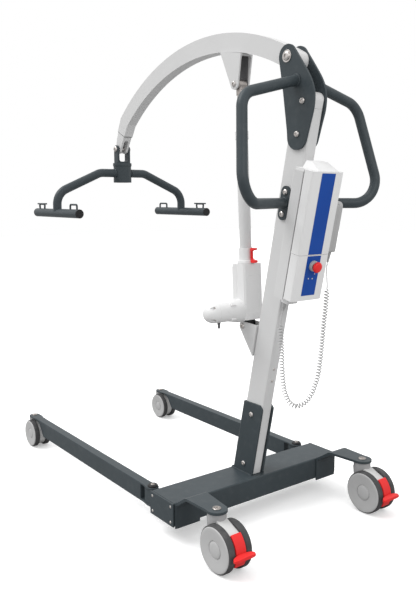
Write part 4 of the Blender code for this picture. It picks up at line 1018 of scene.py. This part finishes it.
def build_boom():
    """Curved boom tube, its tip lug and the fork for the actuator's eye."""
    end = math.radians(BOOM_END_ANGLE)
    end_centre = (BOOM_ARC_CENTRE[0] + BOOM_ARC_R * math.cos(end), BOOM_ARC_CENTRE[1]
                  + BOOM_ARC_R * math.sin(end))
    outline = arc(end_centre, BOOM_HALF_H, BOOM_END_ANGLE - 180, BOOM_END_ANGLE, 24)
    outline += arc(BOOM_ARC_CENTRE, BOOM_ARC_R + BOOM_HALF_H, BOOM_END_ANGLE, 131.2, 90)[1:]
    outline += [(-0.669, 1.1793), (-0.6243, 1.1578)]
    outline += arc(BOOM_ARC_CENTRE, BOOM_ARC_R - BOOM_HALF_H, 130.2, BOOM_END_ANGLE, 90)[:-1]
    boom = prism("boom_beam", outline, 'YZ', -BOOM_HALF_X, BOOM_HALF_X, edge=0.002, segments=3)
    finished(boom, "light_grey", "boom", ["boom_arm"], 40.0)

    ty, tz = BOOM_TIP.y, BOOM_TIP.z
    lug_view = [(-0.6275, 1.1588), (-0.667, 1.178), (-0.6785, 1.152)] + arc((ty, tz), 0.016, 185, 345, 30)
    lug_half = BOOM_HALF_X - 0.0012
    lug = prism("boom_end_lug", lug_view, 'YZ', -lug_half, lug_half)
    pocket = rounded_outline([(-0.0085, tz - 0.03), (0.0085, tz - 0.03), (0.0085, 1.144), (-0.0085, 1.144)],
                             (0, 0, 0.0084, 0.0084), 8)
    cut(lug, prism("lug_pocket", pocket, 'XZ', ty - 0.008, -0.55))
    soften(lug, 0.0022, 4, 40.0)
    # A dark plate at the lug's mitre: painted shade for the dark line under the boom's end; the real finish
    # is light grey paint.
    joint_view = [(-0.668, 1.1797), (-0.6252, 1.1592), (-0.625, 1.156), (-0.6688, 1.1772)]
    mitre = prism("boom_end_joint_painted_shade", joint_view, 'YZ', -BOOM_HALF_X + 0.0007, BOOM_HALF_X - 0.0007)
    finished(mitre, "seam", "boom", slot="light_grey_paint")
    finished(lug, "light_grey", "boom", ["boom_tip_lug"], 40.0)

    hy, hz = 0.003, 1.2625
    reach = BOOM_ARC_R - BOOM_HALF_H - 0.0009
    fork_view = arc(BOOM_ARC_CENTRE, reach, 76.7, 84.2, 12) + arc((hy, hz), 0.016, 195, 345, 26)
    fork = prism("boom_fork", fork_view, 'YZ', -FORK_HALF_X, FORK_HALF_X)
    inside = FORK_HALF_X - FORK_WALL
    slot = arc(BOOM_ARC_CENTRE, reach - 0.006, 74, 88, 12) + [(-0.1, 1.22), (0.08, 1.22)]
    cut(fork, prism("fork_room", slot, 'YZ', -inside, inside))
    soften(fork, 0.0008, 2, 45.0)
    finished(fork, "light_grey", "boom", ["boom_actuator_bracket"], 40.0)
    # Dark sheets on the fork's inner faces: painted shade inside the fork, whose real finish is light grey
    # paint.
    shade_sheet_view = arc(BOOM_ARC_CENTRE, reach - 0.007, 77.6, 83.4, 10) + arc((hy, hz), 0.0135, 200, 340, 16)
    shade_sheets = [prism("shade_sheet", shade_sheet_view, 'YZ', *sorted((x, x * 0.99))) for x in (-inside, inside)]
    finished(gather("boom_fork_painted_shade", shade_sheets), "dark_plastic", "boom", slot="light_grey_paint")
    socket_heads("boom_fork_screws", both_ends((0, hy, hz), FORK_HALF_X + 0.0002), 0.0086, 0.005, "boom")


def build_spreader():
    """Clevis and swivel stem on the boom's tip, hub with two bent arms, and the sling bars."""
    drop = -BOOM_TIP.z
    ear_in = BOOM_HALF_X + 0.001
    ear_out = ear_in + 0.008
    base_low = HUB_TOP + 0.0004 + drop
    base_high = base_low + 0.005
    fork = rounded_outline([(-ear_out, 0.02), (-ear_out, base_low), (ear_out, base_low), (ear_out, 0.02),
                            (ear_in, 0.02), (ear_in, base_high), (-ear_in, base_high), (-ear_in, 0.02)],
                           (0, 0.002, 0.002, 0, 0, 0.008, 0.008, 0), 6)
    face = arc((0, 0), 0.0135, 0, 180, 30) + [(-0.0135, base_low - 0.01), (0.0135, base_low - 0.01)]
    clevis = crossed("clevis_fork", (fork, 'XZ', -0.02, 0.02, SPREADER),
                     (face, 'YZ', -0.04, 0.04, SPREADER), 0.001, 3, 45.0)
    finished(clevis, "anthracite", "spreader_clevis", ["spreader_clevis"], 40.0)
    washer = rounded_profile([(0.0, base_high - 0.001), (0.0285, base_high - 0.001), (0.0285, base_low),
                              (0.0118, base_low), (0.0118, HUB_BOTTOM + drop - 0.0005),
                              (0.0205, HUB_BOTTOM + drop - 0.0005), (0.0205, HUB_BOTTOM + drop - 0.006),
                              (0.0, HUB_BOTTOM + drop - 0.006)], 0.0008, 2)
    finished(turned("swivel_stem", washer, at=SPREADER), "anthracite", "spreader_clevis")
    socket_heads("clevis_screws", both_ends((0, 0, 0), ear_out + 0.0002), 0.0104, 0.0056, "spreader_clevis",
                 SPREADER, stands_for=["spreader_pivot_bolt"])
    pin = cylinder("clevis_pin", 0.006, 2 * ear_out, (0, 0, 0), 'X', SPREADER)
    finished(pin, "steel", "spreader_clevis")

    low = HUB_BOTTOM + drop
    high = HUB_TOP + drop
    ring = [(0.0125, high), (HUB_R + 0.0018, high), (HUB_R + 0.0018, high - 0.011), (HUB_R, high - 0.0118),
            (HUB_R + 0.0006, low - 0.0066), (0.0225, low - 0.0066), (0.0225, low), (0.0125, low)]
    hub = turned("spreader_hub", closed_profile(ring, 0.0016, 4), at=SPREADER, sides=96)
    arms = []
    for sign in (1, -1):
        path = rounded_path([(0.024, 0, 1.029 + drop), (0.093, 0, 1.029 + drop),
                             (SPREADER_BAR_X, 0, 0.9547 + drop), (SPREADER_BAR_X, 0, SPREADER_BAR_Z + drop
                                                                  + 0.004)], (0.055, 0.058), 20)
        arms.append(tube("arm", [(sign * p.x, p.y, p.z) for p in path], ARM_R, SPREADER, 9))
        beads = rounded_profile([(0.0, 0.0335), (ARM_R, 0.0355), (ARM_R + 0.0022, 0.0325), (0.0, 0.03)],
                                0.0006, 2)
        place = SPREADER @ shift((0, 0, 1.029 + drop)) @ facing('X', sign)
        arms.append(turned("bead", beads, at=place, sides=48))
    join(hub, *arms)
    finished(hub, "anthracite", "spreader", ["spreader_body"], 40.0)
    for side, sign in SIDES:
        build_sling_bar(side, sign, SPREADER_BAR_Z + drop)


def build_sling_bar(side, sign, z):
    """Round bar with black end plugs, a plain staple and a horned one."""
    x = sign * SPREADER_BAR_X
    bar = cylinder("sling_bar_" + side, ARM_R, 2 * SPREADER_BAR_HALF - 0.008, (x, 0, z), 'Y', SPREADER, 64)
    soften(bar, 0.0006, 2)
    top = z + 0.03
    rod = 0.0032
    hooks = []
    for kind, y, foot, head in (("staple", sign * HOOK_Y, 0.0245, 0.0245), ("horned", -sign * HOOK_Y,
                                                                            0.0185, 0.0225)):
        points = [(x, y - foot, z + 0.01), (x, y - head, top), (x, y + head, top), (x, y + foot, z + 0.01)]
        hooks.append(tube("hook_" + kind, rounded_path(points, (0.0055, 0.0055), 8), rod, SPREADER, 5))
    y = -sign * HOOK_Y
    horn = rounded_outline([(y - 0.032, top - 0.0012), (y + 0.032, top - 0.0012),
                            (y + 0.032, top + 0.0038), (y - 0.032, top + 0.0038)], (0.0022,) * 4, 5)
    hooks.append(prism("horns", horn, 'YZ', x - 0.0045, x + 0.0045, SPREADER, 0.0016, 3))
    join(bar, *hooks)
    finished(bar, "anthracite", "spreader", ["spreader_bar_" + side], 40.0)
    plugs = []
    for end in (1, -1):
        profile = rounded_profile([(0.0, 0.004), (ARM_R - 0.0008, 0.004), (ARM_R + 0.0002, 0.0028),
                                   (ARM_R + 0.0002, 0.0002), (0.0, 0.0002)], 0.0012, 4)
        place = SPREADER @ shift((x, end * (SPREADER_BAR_HALF - 0.004), z)) @ facing('Y', end)
        plugs.append(turned("plug", profile, at=place))
    finished(gather("sling_bar_plugs_" + side, plugs), "black_plastic", "spreader")


# ---------------------------------------------------------------- actuator

def build_actuator_mount():
    """Gusset on the mast's front that holds the actuator's foot."""
    fy, fz = ACTUATOR_FOOT.y, ACTUATOR_FOOT.z
    high, low = 0.575, 0.483
    skin = 0.0003 / math.cos(LEAN)
    outline = arc((fy, fz), 0.014, 100, 215, 26)
    outline += [(mast_front(low) - skin, low), (mast_front(high) - skin, high)]
    mount = prism("actuator_gusset", outline, 'YZ', -FORK_HALF_X, FORK_HALF_X)
    inside = FORK_HALF_X - FORK_WALL
    room = box("gusset_room", (-inside, -MAST_HALF_N - 0.2, 0.3), (inside, -MAST_HALF_N - 0.0053, 0.75),
               MAST)
    cut(mount, room)
    soften(mount, 0.0008, 2, 45.0)
    finished(mount, "light_grey", "root", ["actuator_mount"], 40.0)
    socket_heads("actuator_foot_screws", both_ends((0, fy, fz), FORK_HALF_X + 0.0002), 0.0083, 0.004,
                 "root", stands_for=["actuator_lower_pin"])
    pin = cylinder("actuator_foot_pin", 0.005, 2 * FORK_HALF_X, (0, fy, fz), 'X')
    finished(pin, "steel", "root")


def build_actuator():
    """Gearbox and motor, collar, outer tube with its head, piston rod with eye, and release."""
    build_gearbox()
    low = GEARBOX_HIGH + SKIN
    bore = ROD_R + 0.0006
    sleeve = closed_profile([(bore, 0.229), (0.021, 0.229), (0.021, 0.1925), (0.0257, 0.192),
                             (0.0257, low), (bore, low)], 0.001)
    collar = turned("actuator_collar", sleeve, at=ACTUATOR, sides=80)
    finished(collar, "white", "actuator")
    outer = closed_profile([(bore, TUBE_TOP - 0.0262), (TUBE_R, TUBE_TOP - 0.0262), (TUBE_R, 0.2293),
                            (bore, 0.2293)], 0.0005, 2)
    barrel = turned("actuator_barrel", outer, at=ACTUATOR, sides=80)
    finished(barrel, "light_grey", "actuator", ["actuator_outer_tube"], slot="white_plastic")
    head = closed_profile([(bore, TUBE_TOP), (0.015, TUBE_TOP), (0.0185, TUBE_TOP - 0.0015),
                           (0.0195, TUBE_TOP - 0.0035), (0.0195, TUBE_TOP - 0.0258),
                           (bore, TUBE_TOP - 0.0258)], 0.0008)
    cap = turned("actuator_barrel_head", head, at=ACTUATOR, sides=80)
    finished(cap, "white", "actuator")
    lip = ROD_R + SKIN
    wiper = closed_profile([(lip, TUBE_TOP + 0.0012), (0.013, TUBE_TOP + 0.001),
                            (0.0135, TUBE_TOP + 0.0001), (lip, TUBE_TOP + 0.0001)], 0.0003, 2)
    finished(turned("actuator_wiper", wiper, at=ACTUATOR), "dark_plastic", "actuator", slot="black_plastic")

    rod = turned("actuator_piston_rod", [(0.0, ACTUATOR_LENGTH - 0.006), (ROD_R, ACTUATOR_LENGTH - 0.006),
                                         (ROD_R, 0.33), (0.0, 0.33)], at=ACTUATOR, sides=64)
    finished(rod, "ground_rod", "actuator_rod", ["actuator_rod"])
    eye = cylinder("actuator_rod_head", 0.014, 0.03, (0, 0, ACTUATOR_LENGTH), 'X', ACTUATOR, 56)
    join(eye, cylinder("eye_neck", 0.0118, 0.024, (0, 0, ACTUATOR_LENGTH - 0.018), 'Z', ACTUATOR, 56))
    cut(eye, cylinder("eye_hole", 0.0055, 0.05, (0, 0, ACTUATOR_LENGTH), 'X', ACTUATOR, 40))
    soften(eye, 0.0007, 2, 50.0)
    finished(eye, "zinc", "actuator_rod", sharp=40.0)
    build_release()


def build_gearbox():
    """White gearbox with a round lobe in front, a square rear block and the motor on its left."""
    lobe = arc((0.0, -0.0235), 0.0275, 158, 382, 40)
    rear = [(0.029, -0.008), (0.0345, 0.0), (0.0345, 0.026), (0.03, 0.031)]
    section = lobe + rear + [(-u, v) for u, v in reversed(rear)]
    case = prism("actuator_gearbox", section, 'XY', GEARBOX_LOW, GEARBOX_HIGH, ACTUATOR)
    shoulder = prism("shoulder", [(-0.06, 0.0), (0.032, 0.0), (0.032, GEARBOX_HIGH + 0.01),
                                  (-0.021, GEARBOX_HIGH + 0.01), (-0.036, 0.174), (-0.052, 0.162),
                                  (-0.06, 0.15)], 'YZ', -0.06, 0.06, ACTUATOR)
    combine(case, 'INTERSECT', shoulder)
    soften(case, 0.003, 4, 28.0)
    panel = box("rear_panel", (-0.0225, 0.0303, 0.04), (0.0225, 0.033, 0.15), ACTUATOR, 0.002, 3)
    cut(case, panel)
    foot = prism("foot", arc((0, 0), 0.013, 180, 360, 24) + [(0.013, 0.03), (-0.013, 0.03)], 'YZ',
                 -0.0165, 0.0165, ACTUATOR, 0.0012, 3)
    cut(foot, cylinder("foot_hole", 0.0054, 0.06, (0, 0, 0), 'X', ACTUATOR, 40))
    finished(foot, "black_plastic", "actuator", sharp=40.0)
    finished(case, "white", "actuator", ["actuator_housing"], 36.0)

    axis_place = ACTUATOR @ shift((0, -0.003, MOTOR_S)) @ AXIS_TURN['X']
    shell = rounded_profile([(0.0, 0.118), (MOTOR_R - 0.0006, 0.118), (MOTOR_R, 0.1165),
                             (MOTOR_R, 0.078), (MOTOR_R + 0.0024, 0.064), (MOTOR_R + 0.0062, 0.044),
                             (MOTOR_R + 0.0068, 0.024), (0.0, 0.024)], 0.0014, 4)
    motor = turned("actuator_motor_shell", shell, at=axis_place, sides=96)
    finished(motor, "white", "actuator")
    dome = [(0.0, MOTOR_END), (0.008, MOTOR_END - 0.0008), (0.015, MOTOR_END - 0.0036),
            (0.0205, MOTOR_END - 0.0085), (0.0245, MOTOR_END - 0.0155), (0.0268, MOTOR_END - 0.024),
            (0.0276, MOTOR_END - 0.033), (0.0278, 0.1184), (0.0, 0.1184)]
    smooth_dome = [(max(0.0, r), h) for r, h in smooth_flat(dome[:8], 0.0025)]
    cap = turned("actuator_motor_cap", smooth_dome + [dome[-1]], at=axis_place, sides=96)
    pockets = []
    screws = []
    for k in range(4):
        spin = Matrix.Rotation(math.radians(45 + 90 * k), 4, 'Z')
        pocket_at = axis_place @ spin
        pockets.append(box("pocket", (0.0205, -0.0042, 0.132), (0.04, 0.0042, 0.17), pocket_at, 0.0012, 2))
        screws.append(socket_head("motor_screw", 0.003, 0.0026, (0.0238, 0, 0.1318), 'Z', False, pocket_at))
    cut(cap, *pockets)
    finished(cap, "white", "actuator", sharp=36.0)
    finished(gather("actuator_motor_screws", screws), "steel", "actuator")
    lugs = []
    for k in range(4):
        lug_at = axis_place @ Matrix.Rotation(math.radians(45 + 90 * k), 4, 'Z')
        lugs.append(box("lug", (0.0262, -0.005, 0.062), (0.0338, 0.005, 0.08), lug_at, 0.002, 3))
    finished(gather("actuator_motor_lugs", lugs), "white", "actuator")
    gland = rounded_profile([(0.0, 0.0), (0.0046, 0.0), (0.0046, -0.006), (0.0038, -0.0068),
                             (0.0038, -0.018), (0.0, -0.018)], 0.0006, 2)
    inlet = turned("actuator_cable_inlet", gland, (0.108, -0.003, MOTOR_S - MOTOR_R + 0.0012), 'Z',
                   ACTUATOR, 32)
    finished(inlet, "dark_plastic", "actuator")


def build_release():
    """Red emergency lowering handle: two prongs joined by a thin link on the collar's rear."""
    back = 0.0262
    view = rounded_outline(
        [(back, 0.1855), (back + 0.0165, 0.185), (back + 0.0198, 0.187), (back + 0.0198, 0.1925),
         (back + 0.011, 0.194), (back + 0.0028, 0.1965), (back + 0.0028, 0.22), (back + 0.01, 0.2222),
         (back + 0.015, 0.2215), (back + 0.019, 0.223), (back + 0.019, 0.228), (back, 0.229)],
        (0, 0.002, 0.002, 0.002, 0.003, 0.003, 0.002, 0.002, 0.002, 0.0018, 0.0018, 0), 4)
    release = prism("actuator_lowering_grip", view, 'YZ', -0.005, 0.005, ACTUATOR, 0.0012, 3)
    waist = [box("waist", (min(x, x * 0.4), back + 0.001, 0.1975), (max(x, x * 0.4), back + 0.004, 0.219),
                 ACTUATOR, 0.0008, 2) for x in (-0.006, 0.006)]
    cut(release, *waist)
    finished(release, "red", "actuator_release", ["actuator_release"], 40.0)


# ---------------------------------------------------------------- control unit

def control_section(steps=5):
    half = [(0.0485, 0.0412), (0.0485, 0.0795), (0.0566, 0.0815), (0.0566, 0.1122), (PANEL_HALF_X, PANEL_N)]
    points = half + [(-u, v) for u, v in reversed(half)]
    radii = (0.003, 0, 0.003, 0.006, 0.004, 0.004, 0.006, 0.003, 0, 0.003)
    return rounded_outline(points, radii, steps)


def build_control_unit():
    """Sheet bracket, control box, battery pack, the seam between them, dark strips of painted shade in the
    gaps beside the bracket, and the front film.
    """
    sheet = 0.0025
    near, far = MAST_HALF_N + SKIN, 0.0745
    half = 0.052
    channel = rounded_outline(
        [(-half, near), (half, near), (half, far), (half - sheet, far), (half - sheet, near + sheet),
         (-half + sheet, near + sheet), (-half + sheet, far), (-half, far)],
        (0.004, 0.004, 0, 0, 0.0015, 0.0015, 0, 0), 5)
    bracket = prism("control_unit_bracket", channel, 'XY', 0.7, 1.044, MAST, 0.0005, 2)
    finished(bracket, "light_grey", "root", ["control_box_bracket"], 40.0)

    control = prism("control_box_housing", control_section(), 'XY', *BOX_S, MAST, 0.0012, 3)
    dock = box("dock", (-0.0175, 0.0412, 0.68), (0.0215, 0.066, BOX_S[0] + 0.004), MAST, 0.0016, 3)
    join(control, dock)
    finished(control, "white", "root", ["control_box"], 36.0)

    battery = prism("battery_pack_housing", control_section(), 'XY', *BATTERY_S, MAST, 0.0016, 3)
    top = BATTERY_S[1]
    hump_view = rounded_outline(
        [(0.0545, top - 0.004), (0.0545, HUMP_TOP_S), (0.076, HUMP_TOP_S), (0.1125, top + 0.0012),
         (0.113, top - 0.004)], (0, 0.003, 0.006, 0.0006, 0), 6)
    face = [(-0.0375, top - 0.01), (-0.0375, top + 0.001), (-0.027, HUMP_TOP_S + 0.001)]
    face += [(-u, v) for u, v in reversed(face)]
    hump = crossed("hump", (hump_view, 'YZ', -0.06, 0.06, MAST), (face, 'XZ', 0.04, 0.13, MAST),
                   0.0014, 3, 24.0)
    join(battery, hump)
    finished(battery, "white", "battery_pack", ["battery_pack"], 36.0)
    seam = prism("control_seam_gasket", [(u * 0.985, 0.042 + (v - 0.042) * 0.985) for u,
                                         v in control_section()], 'XY', BOX_S[1] - 0.0002,
                 BATTERY_S[0] - 0.0002, MAST)
    finished(seam, "seam", "root")
    # Dark strips in the gaps beside the bracket: painted shade where the bracket's edge shades the
    # housings' sides.
    for label, body, span in (("lower", "root", BOX_S), ("upper", "battery_pack", BATTERY_S)):
        strips = [box("strip", (min(x, x * 1.006), 0.0735, span[0] + 0.002), (max(x, x * 1.006), 0.0803,
                                                                              span[1] - 0.003), MAST,
                      0.0001, 1) for x in (-0.0486, 0.0486)]
        finished(gather("bracket_gap_painted_shade_" + label, strips), "seam", body)

    for label, body, low, high in (("lower", "root", 0.7215, BOX_S[1] - 0.0016),
                                   ("upper", "battery_pack", BATTERY_S[0] + 0.0016, 1.0475)):
        corners = [(-0.025, low), (0.025, low), (0.025, high), (-0.025, high)]
        radii = (0.0015, 0.0015, 0.0025, 0.0025)
        rim = prism("panel_rim_" + label, [(u * 1.024, v + (0.0006 if v == high else -0.0006)) for u,
                                           v in corners], 'XZ', PANEL_N - 0.0006, PANEL_N + 0.00025, MAST)
        finished(rim, "film_edge", body)
        film = prism("panel_film_" + label, rounded_outline(corners, radii, 4), 'XZ', PANEL_N - 0.0004,
                     PANEL_N + 0.00045, MAST, 0.0001, 1)
        finished(film, "panel_blue", body)
    build_controls()


def build_controls():
    """Emergency stop, indicator lights and the sockets under the box."""
    low = PANEL_N + 0.0005
    collar = closed_profile([(0.0078, PANEL_N + 0.0088), (0.0125, PANEL_N + 0.0088),
                             (0.014, PANEL_N + 0.007), (0.0145, low), (0.0078, low)], 0.0008)
    ring = turned("emergency_stop_ring", collar, (0, 0, STOP_S), 'Y', MAST, 64)
    finished(ring, "grey_plastic", "root", ["emergency_stop_collar"])
    knob_low = PANEL_N + 0.015
    knob = [(0.0, knob_low + 0.009), (0.006, knob_low + 0.0088), (0.011, knob_low + 0.0078),
            (0.0138, knob_low + 0.0058), (0.0148, knob_low + 0.003), (0.0143, knob_low),
            (0.0072, knob_low), (0.0072, PANEL_N + 0.0063), (0.0, PANEL_N + 0.0063)]
    cap = turned("emergency_stop_cap", rounded_profile(knob, 0.0008, 3), (0, 0, STOP_S), 'Y', MAST, 72)
    finished(cap, "red", "emergency_stop", ["emergency_stop_button"])
    lights = []
    for x, s in ((-0.012, 0.781), (0.0085, 0.769), (-0.006, 0.768)):
        lens = [(0.0, 0.001), (0.001, 0.0008), (0.0017, 0.0002), (0.0017, -0.0006), (0.0, -0.0006)]
        lights.append(turned("light", lens, (x, PANEL_N + 0.0004, s), 'Y', MAST, 24))
    finished(gather("status_lights", lights), "led", "root")
    sockets = []
    for x, n in ((-0.009, 0.088), (0.018, 0.088), (-0.034, 0.064), (0.036, 0.064)):
        ring = rounded_profile([(0.0, BOX_S[0] + 0.001), (0.0078, BOX_S[0] + 0.001),
                                (0.0078, BOX_S[0] - 0.003), (0.006, BOX_S[0] - 0.0036),
                                (0.0052, BOX_S[0] - 0.0012), (0.0, BOX_S[0] - 0.0012)], 0.0005, 2)
        sockets.append(turned("socket", ring, (x, n, 0), 'Z', MAST, 36))
    finished(gather("control_box_sockets", sockets), "dark_plastic", "root")


def build_handset():
    """Hand control hung on the control unit's right side."""
    low = (HANDSET_X[0], HANDSET_N[0], HANDSET_S[0])
    high = (HANDSET_X[1] - 0.0002, HANDSET_N[1], HANDSET_S[1])
    mid_x = (low[0] + high[0]) / 2
    middle = (HANDSET_N[0] + HANDSET_N[1]) / 2
    outline = rounded_outline([(low[1], low[2]), (high[1], low[2]), (high[1] - 0.0025, high[2]),
                               (low[1] + 0.0025, high[2])], (0.007, 0.007, 0.012, 0.012), 8)
    front = prism("handset_front_shell", outline, 'YZ', low[0], mid_x - SKIN, MAST, 0.0048, 5)
    rooms = []
    for s in (0.943, 0.918):
        rooms.append(box("key_room", (low[0] - 0.01, middle - 0.0105, s - 0.0095),
                         (low[0] + 0.006, middle + 0.0105, s + 0.0095), MAST, 0.0012, 2))
    cut(front, *rooms)
    finished(front, "grey_plastic", "root", ["handset"], 36.0)
    rear = prism("handset_rear_shell", outline, 'YZ', mid_x, high[0], MAST, 0.0048, 5)
    finished(rear, "grey_plastic", "root")
    waist = box("handset_joint", (mid_x - 0.006, low[1] + 0.003, low[2] + 0.001),
                (mid_x + 0.006, high[1] - 0.003, high[2] - 0.003), MAST, 0.0055, 4)
    finished(waist, "dark_plastic", "root")
    for label, s in (("up", 0.943), ("down", 0.918)):
        key = box("handset_rocker_" + label, (low[0] - 0.0012, middle - 0.01, s - 0.009),
                  (low[0] + 0.0035, middle + 0.01, s + 0.009), MAST, 0.0016, 4)
        tip = 0.005 if label == "up" else -0.005
        arrow = prism("arrow", [(middle - 0.0042, s - tip * 0.6), (middle + 0.0042, s - tip * 0.6),
                                (middle, s + tip)], 'YZ', low[0] - 0.003, low[0] - 0.0008, MAST)
        cut(key, arrow)
        finished(key, "dark_plastic", "handset_key_" + label, ["handset_key_" + label],
                 slot="black_plastic")


# ---------------------------------------------------------------- stage

def build_stage():
    """Pale floor that runs into a pale world, and soft studio lights."""
    bm = bmesh.new()
    bmesh.ops.create_grid(bm, x_segments=1, y_segments=1, size=14.0)
    floor = from_bmesh("floor", bm, shift((0, 0, -0.0002)))
    material = make_material("pale_floor", (0.9, 0.9, 0.9), 0.75, tint=0.006, patches=1.5, grain=300.0,
                             bump=0.05, depth=0.0001)
    shader = material.node_tree.nodes["Principled BSDF"]
    shader.inputs["Emission Color"].default_value = (1, 1, 1, 1)
    tree = material.node_tree
    ray = node(tree, "ShaderNodeLightPath")
    lift = node(tree, "ShaderNodeMapRange")
    lift.inputs["To Max"].default_value = FLOOR_LIFT
    tree.links.new(ray.outputs["Is Camera Ray"], lift.inputs["Value"])
    tree.links.new(lift.outputs["Result"], shader.inputs["Emission Strength"])
    bounce = node(tree, "ShaderNodeMix", data_type='RGBA')
    bounce.inputs["A"].default_value = (FLOOR_BOUNCE, FLOOR_BOUNCE, FLOOR_BOUNCE, 1)
    tree.links.new(ray.outputs["Is Camera Ray"], bounce.inputs["Factor"])
    tree.links.new(shader.inputs["Base Color"].links[0].from_socket, bounce.inputs["B"])
    tree.links.new(bounce.outputs["Result"], shader.inputs["Base Color"])
    floor.data.materials.append(material)
    world = bpy.data.worlds.new("studio")
    world.use_nodes = True
    background = world.node_tree.nodes["Background"]
    background.inputs["Color"].default_value = (1, 1, 1, 1)
    ray = node(world.node_tree, "ShaderNodeLightPath")
    strength = node(world.node_tree, "ShaderNodeMapRange")
    strength.inputs["To Min"].default_value = AMBIENT
    strength.inputs["To Max"].default_value = 1.0
    world.node_tree.links.new(ray.outputs["Is Camera Ray"], strength.inputs["Value"])
    world.node_tree.links.new(strength.outputs["Result"], background.inputs["Strength"])
    bpy.context.scene.world = world
    bpy.context.scene.view_settings.view_transform = 'Standard'
    sun = bpy.data.objects.new("key", bpy.data.lights.new("key", 'SUN'))
    sun.data.energy = SUN_POWER
    sun.data.angle = math.radians(SUN_ANGLE)
    sun.rotation_euler = Vector(SUN_DIRECTION).to_track_quat('-Z', 'Y').to_euler()
    bpy.context.scene.collection.objects.link(sun)
    fill = bpy.data.objects.new("fill", bpy.data.lights.new("fill", 'AREA'))
    fill.data.size = FILL_SIZE
    fill.data.energy = FILL_POWER
    fill.location = FILL_PLACE
    fill.rotation_euler = (Vector(FILL_TARGET) - Vector(FILL_PLACE)).to_track_quat('-Z', 'Y').to_euler()
    bpy.context.scene.collection.objects.link(fill)


# ---------------------------------------------------------------- assembly

def build():
    build_camera()
    build_cord()
    build_crossbar()
    build_mast()
    build_boom()
    build_spreader()
    build_actuator_mount()
    build_actuator()
    build_control_unit()
    build_handset()
    for side, sign in SIDES:
        build_leg(side)
        build_handle(side, sign)
        name = "rear_castor_" + side
        place = joint_place(name + "_swivel")
        build_castor(name, name, "rear_wheels_" + side, place, REAR_CASTOR, "brake_pedal_" + side)
    build_stage()


build()
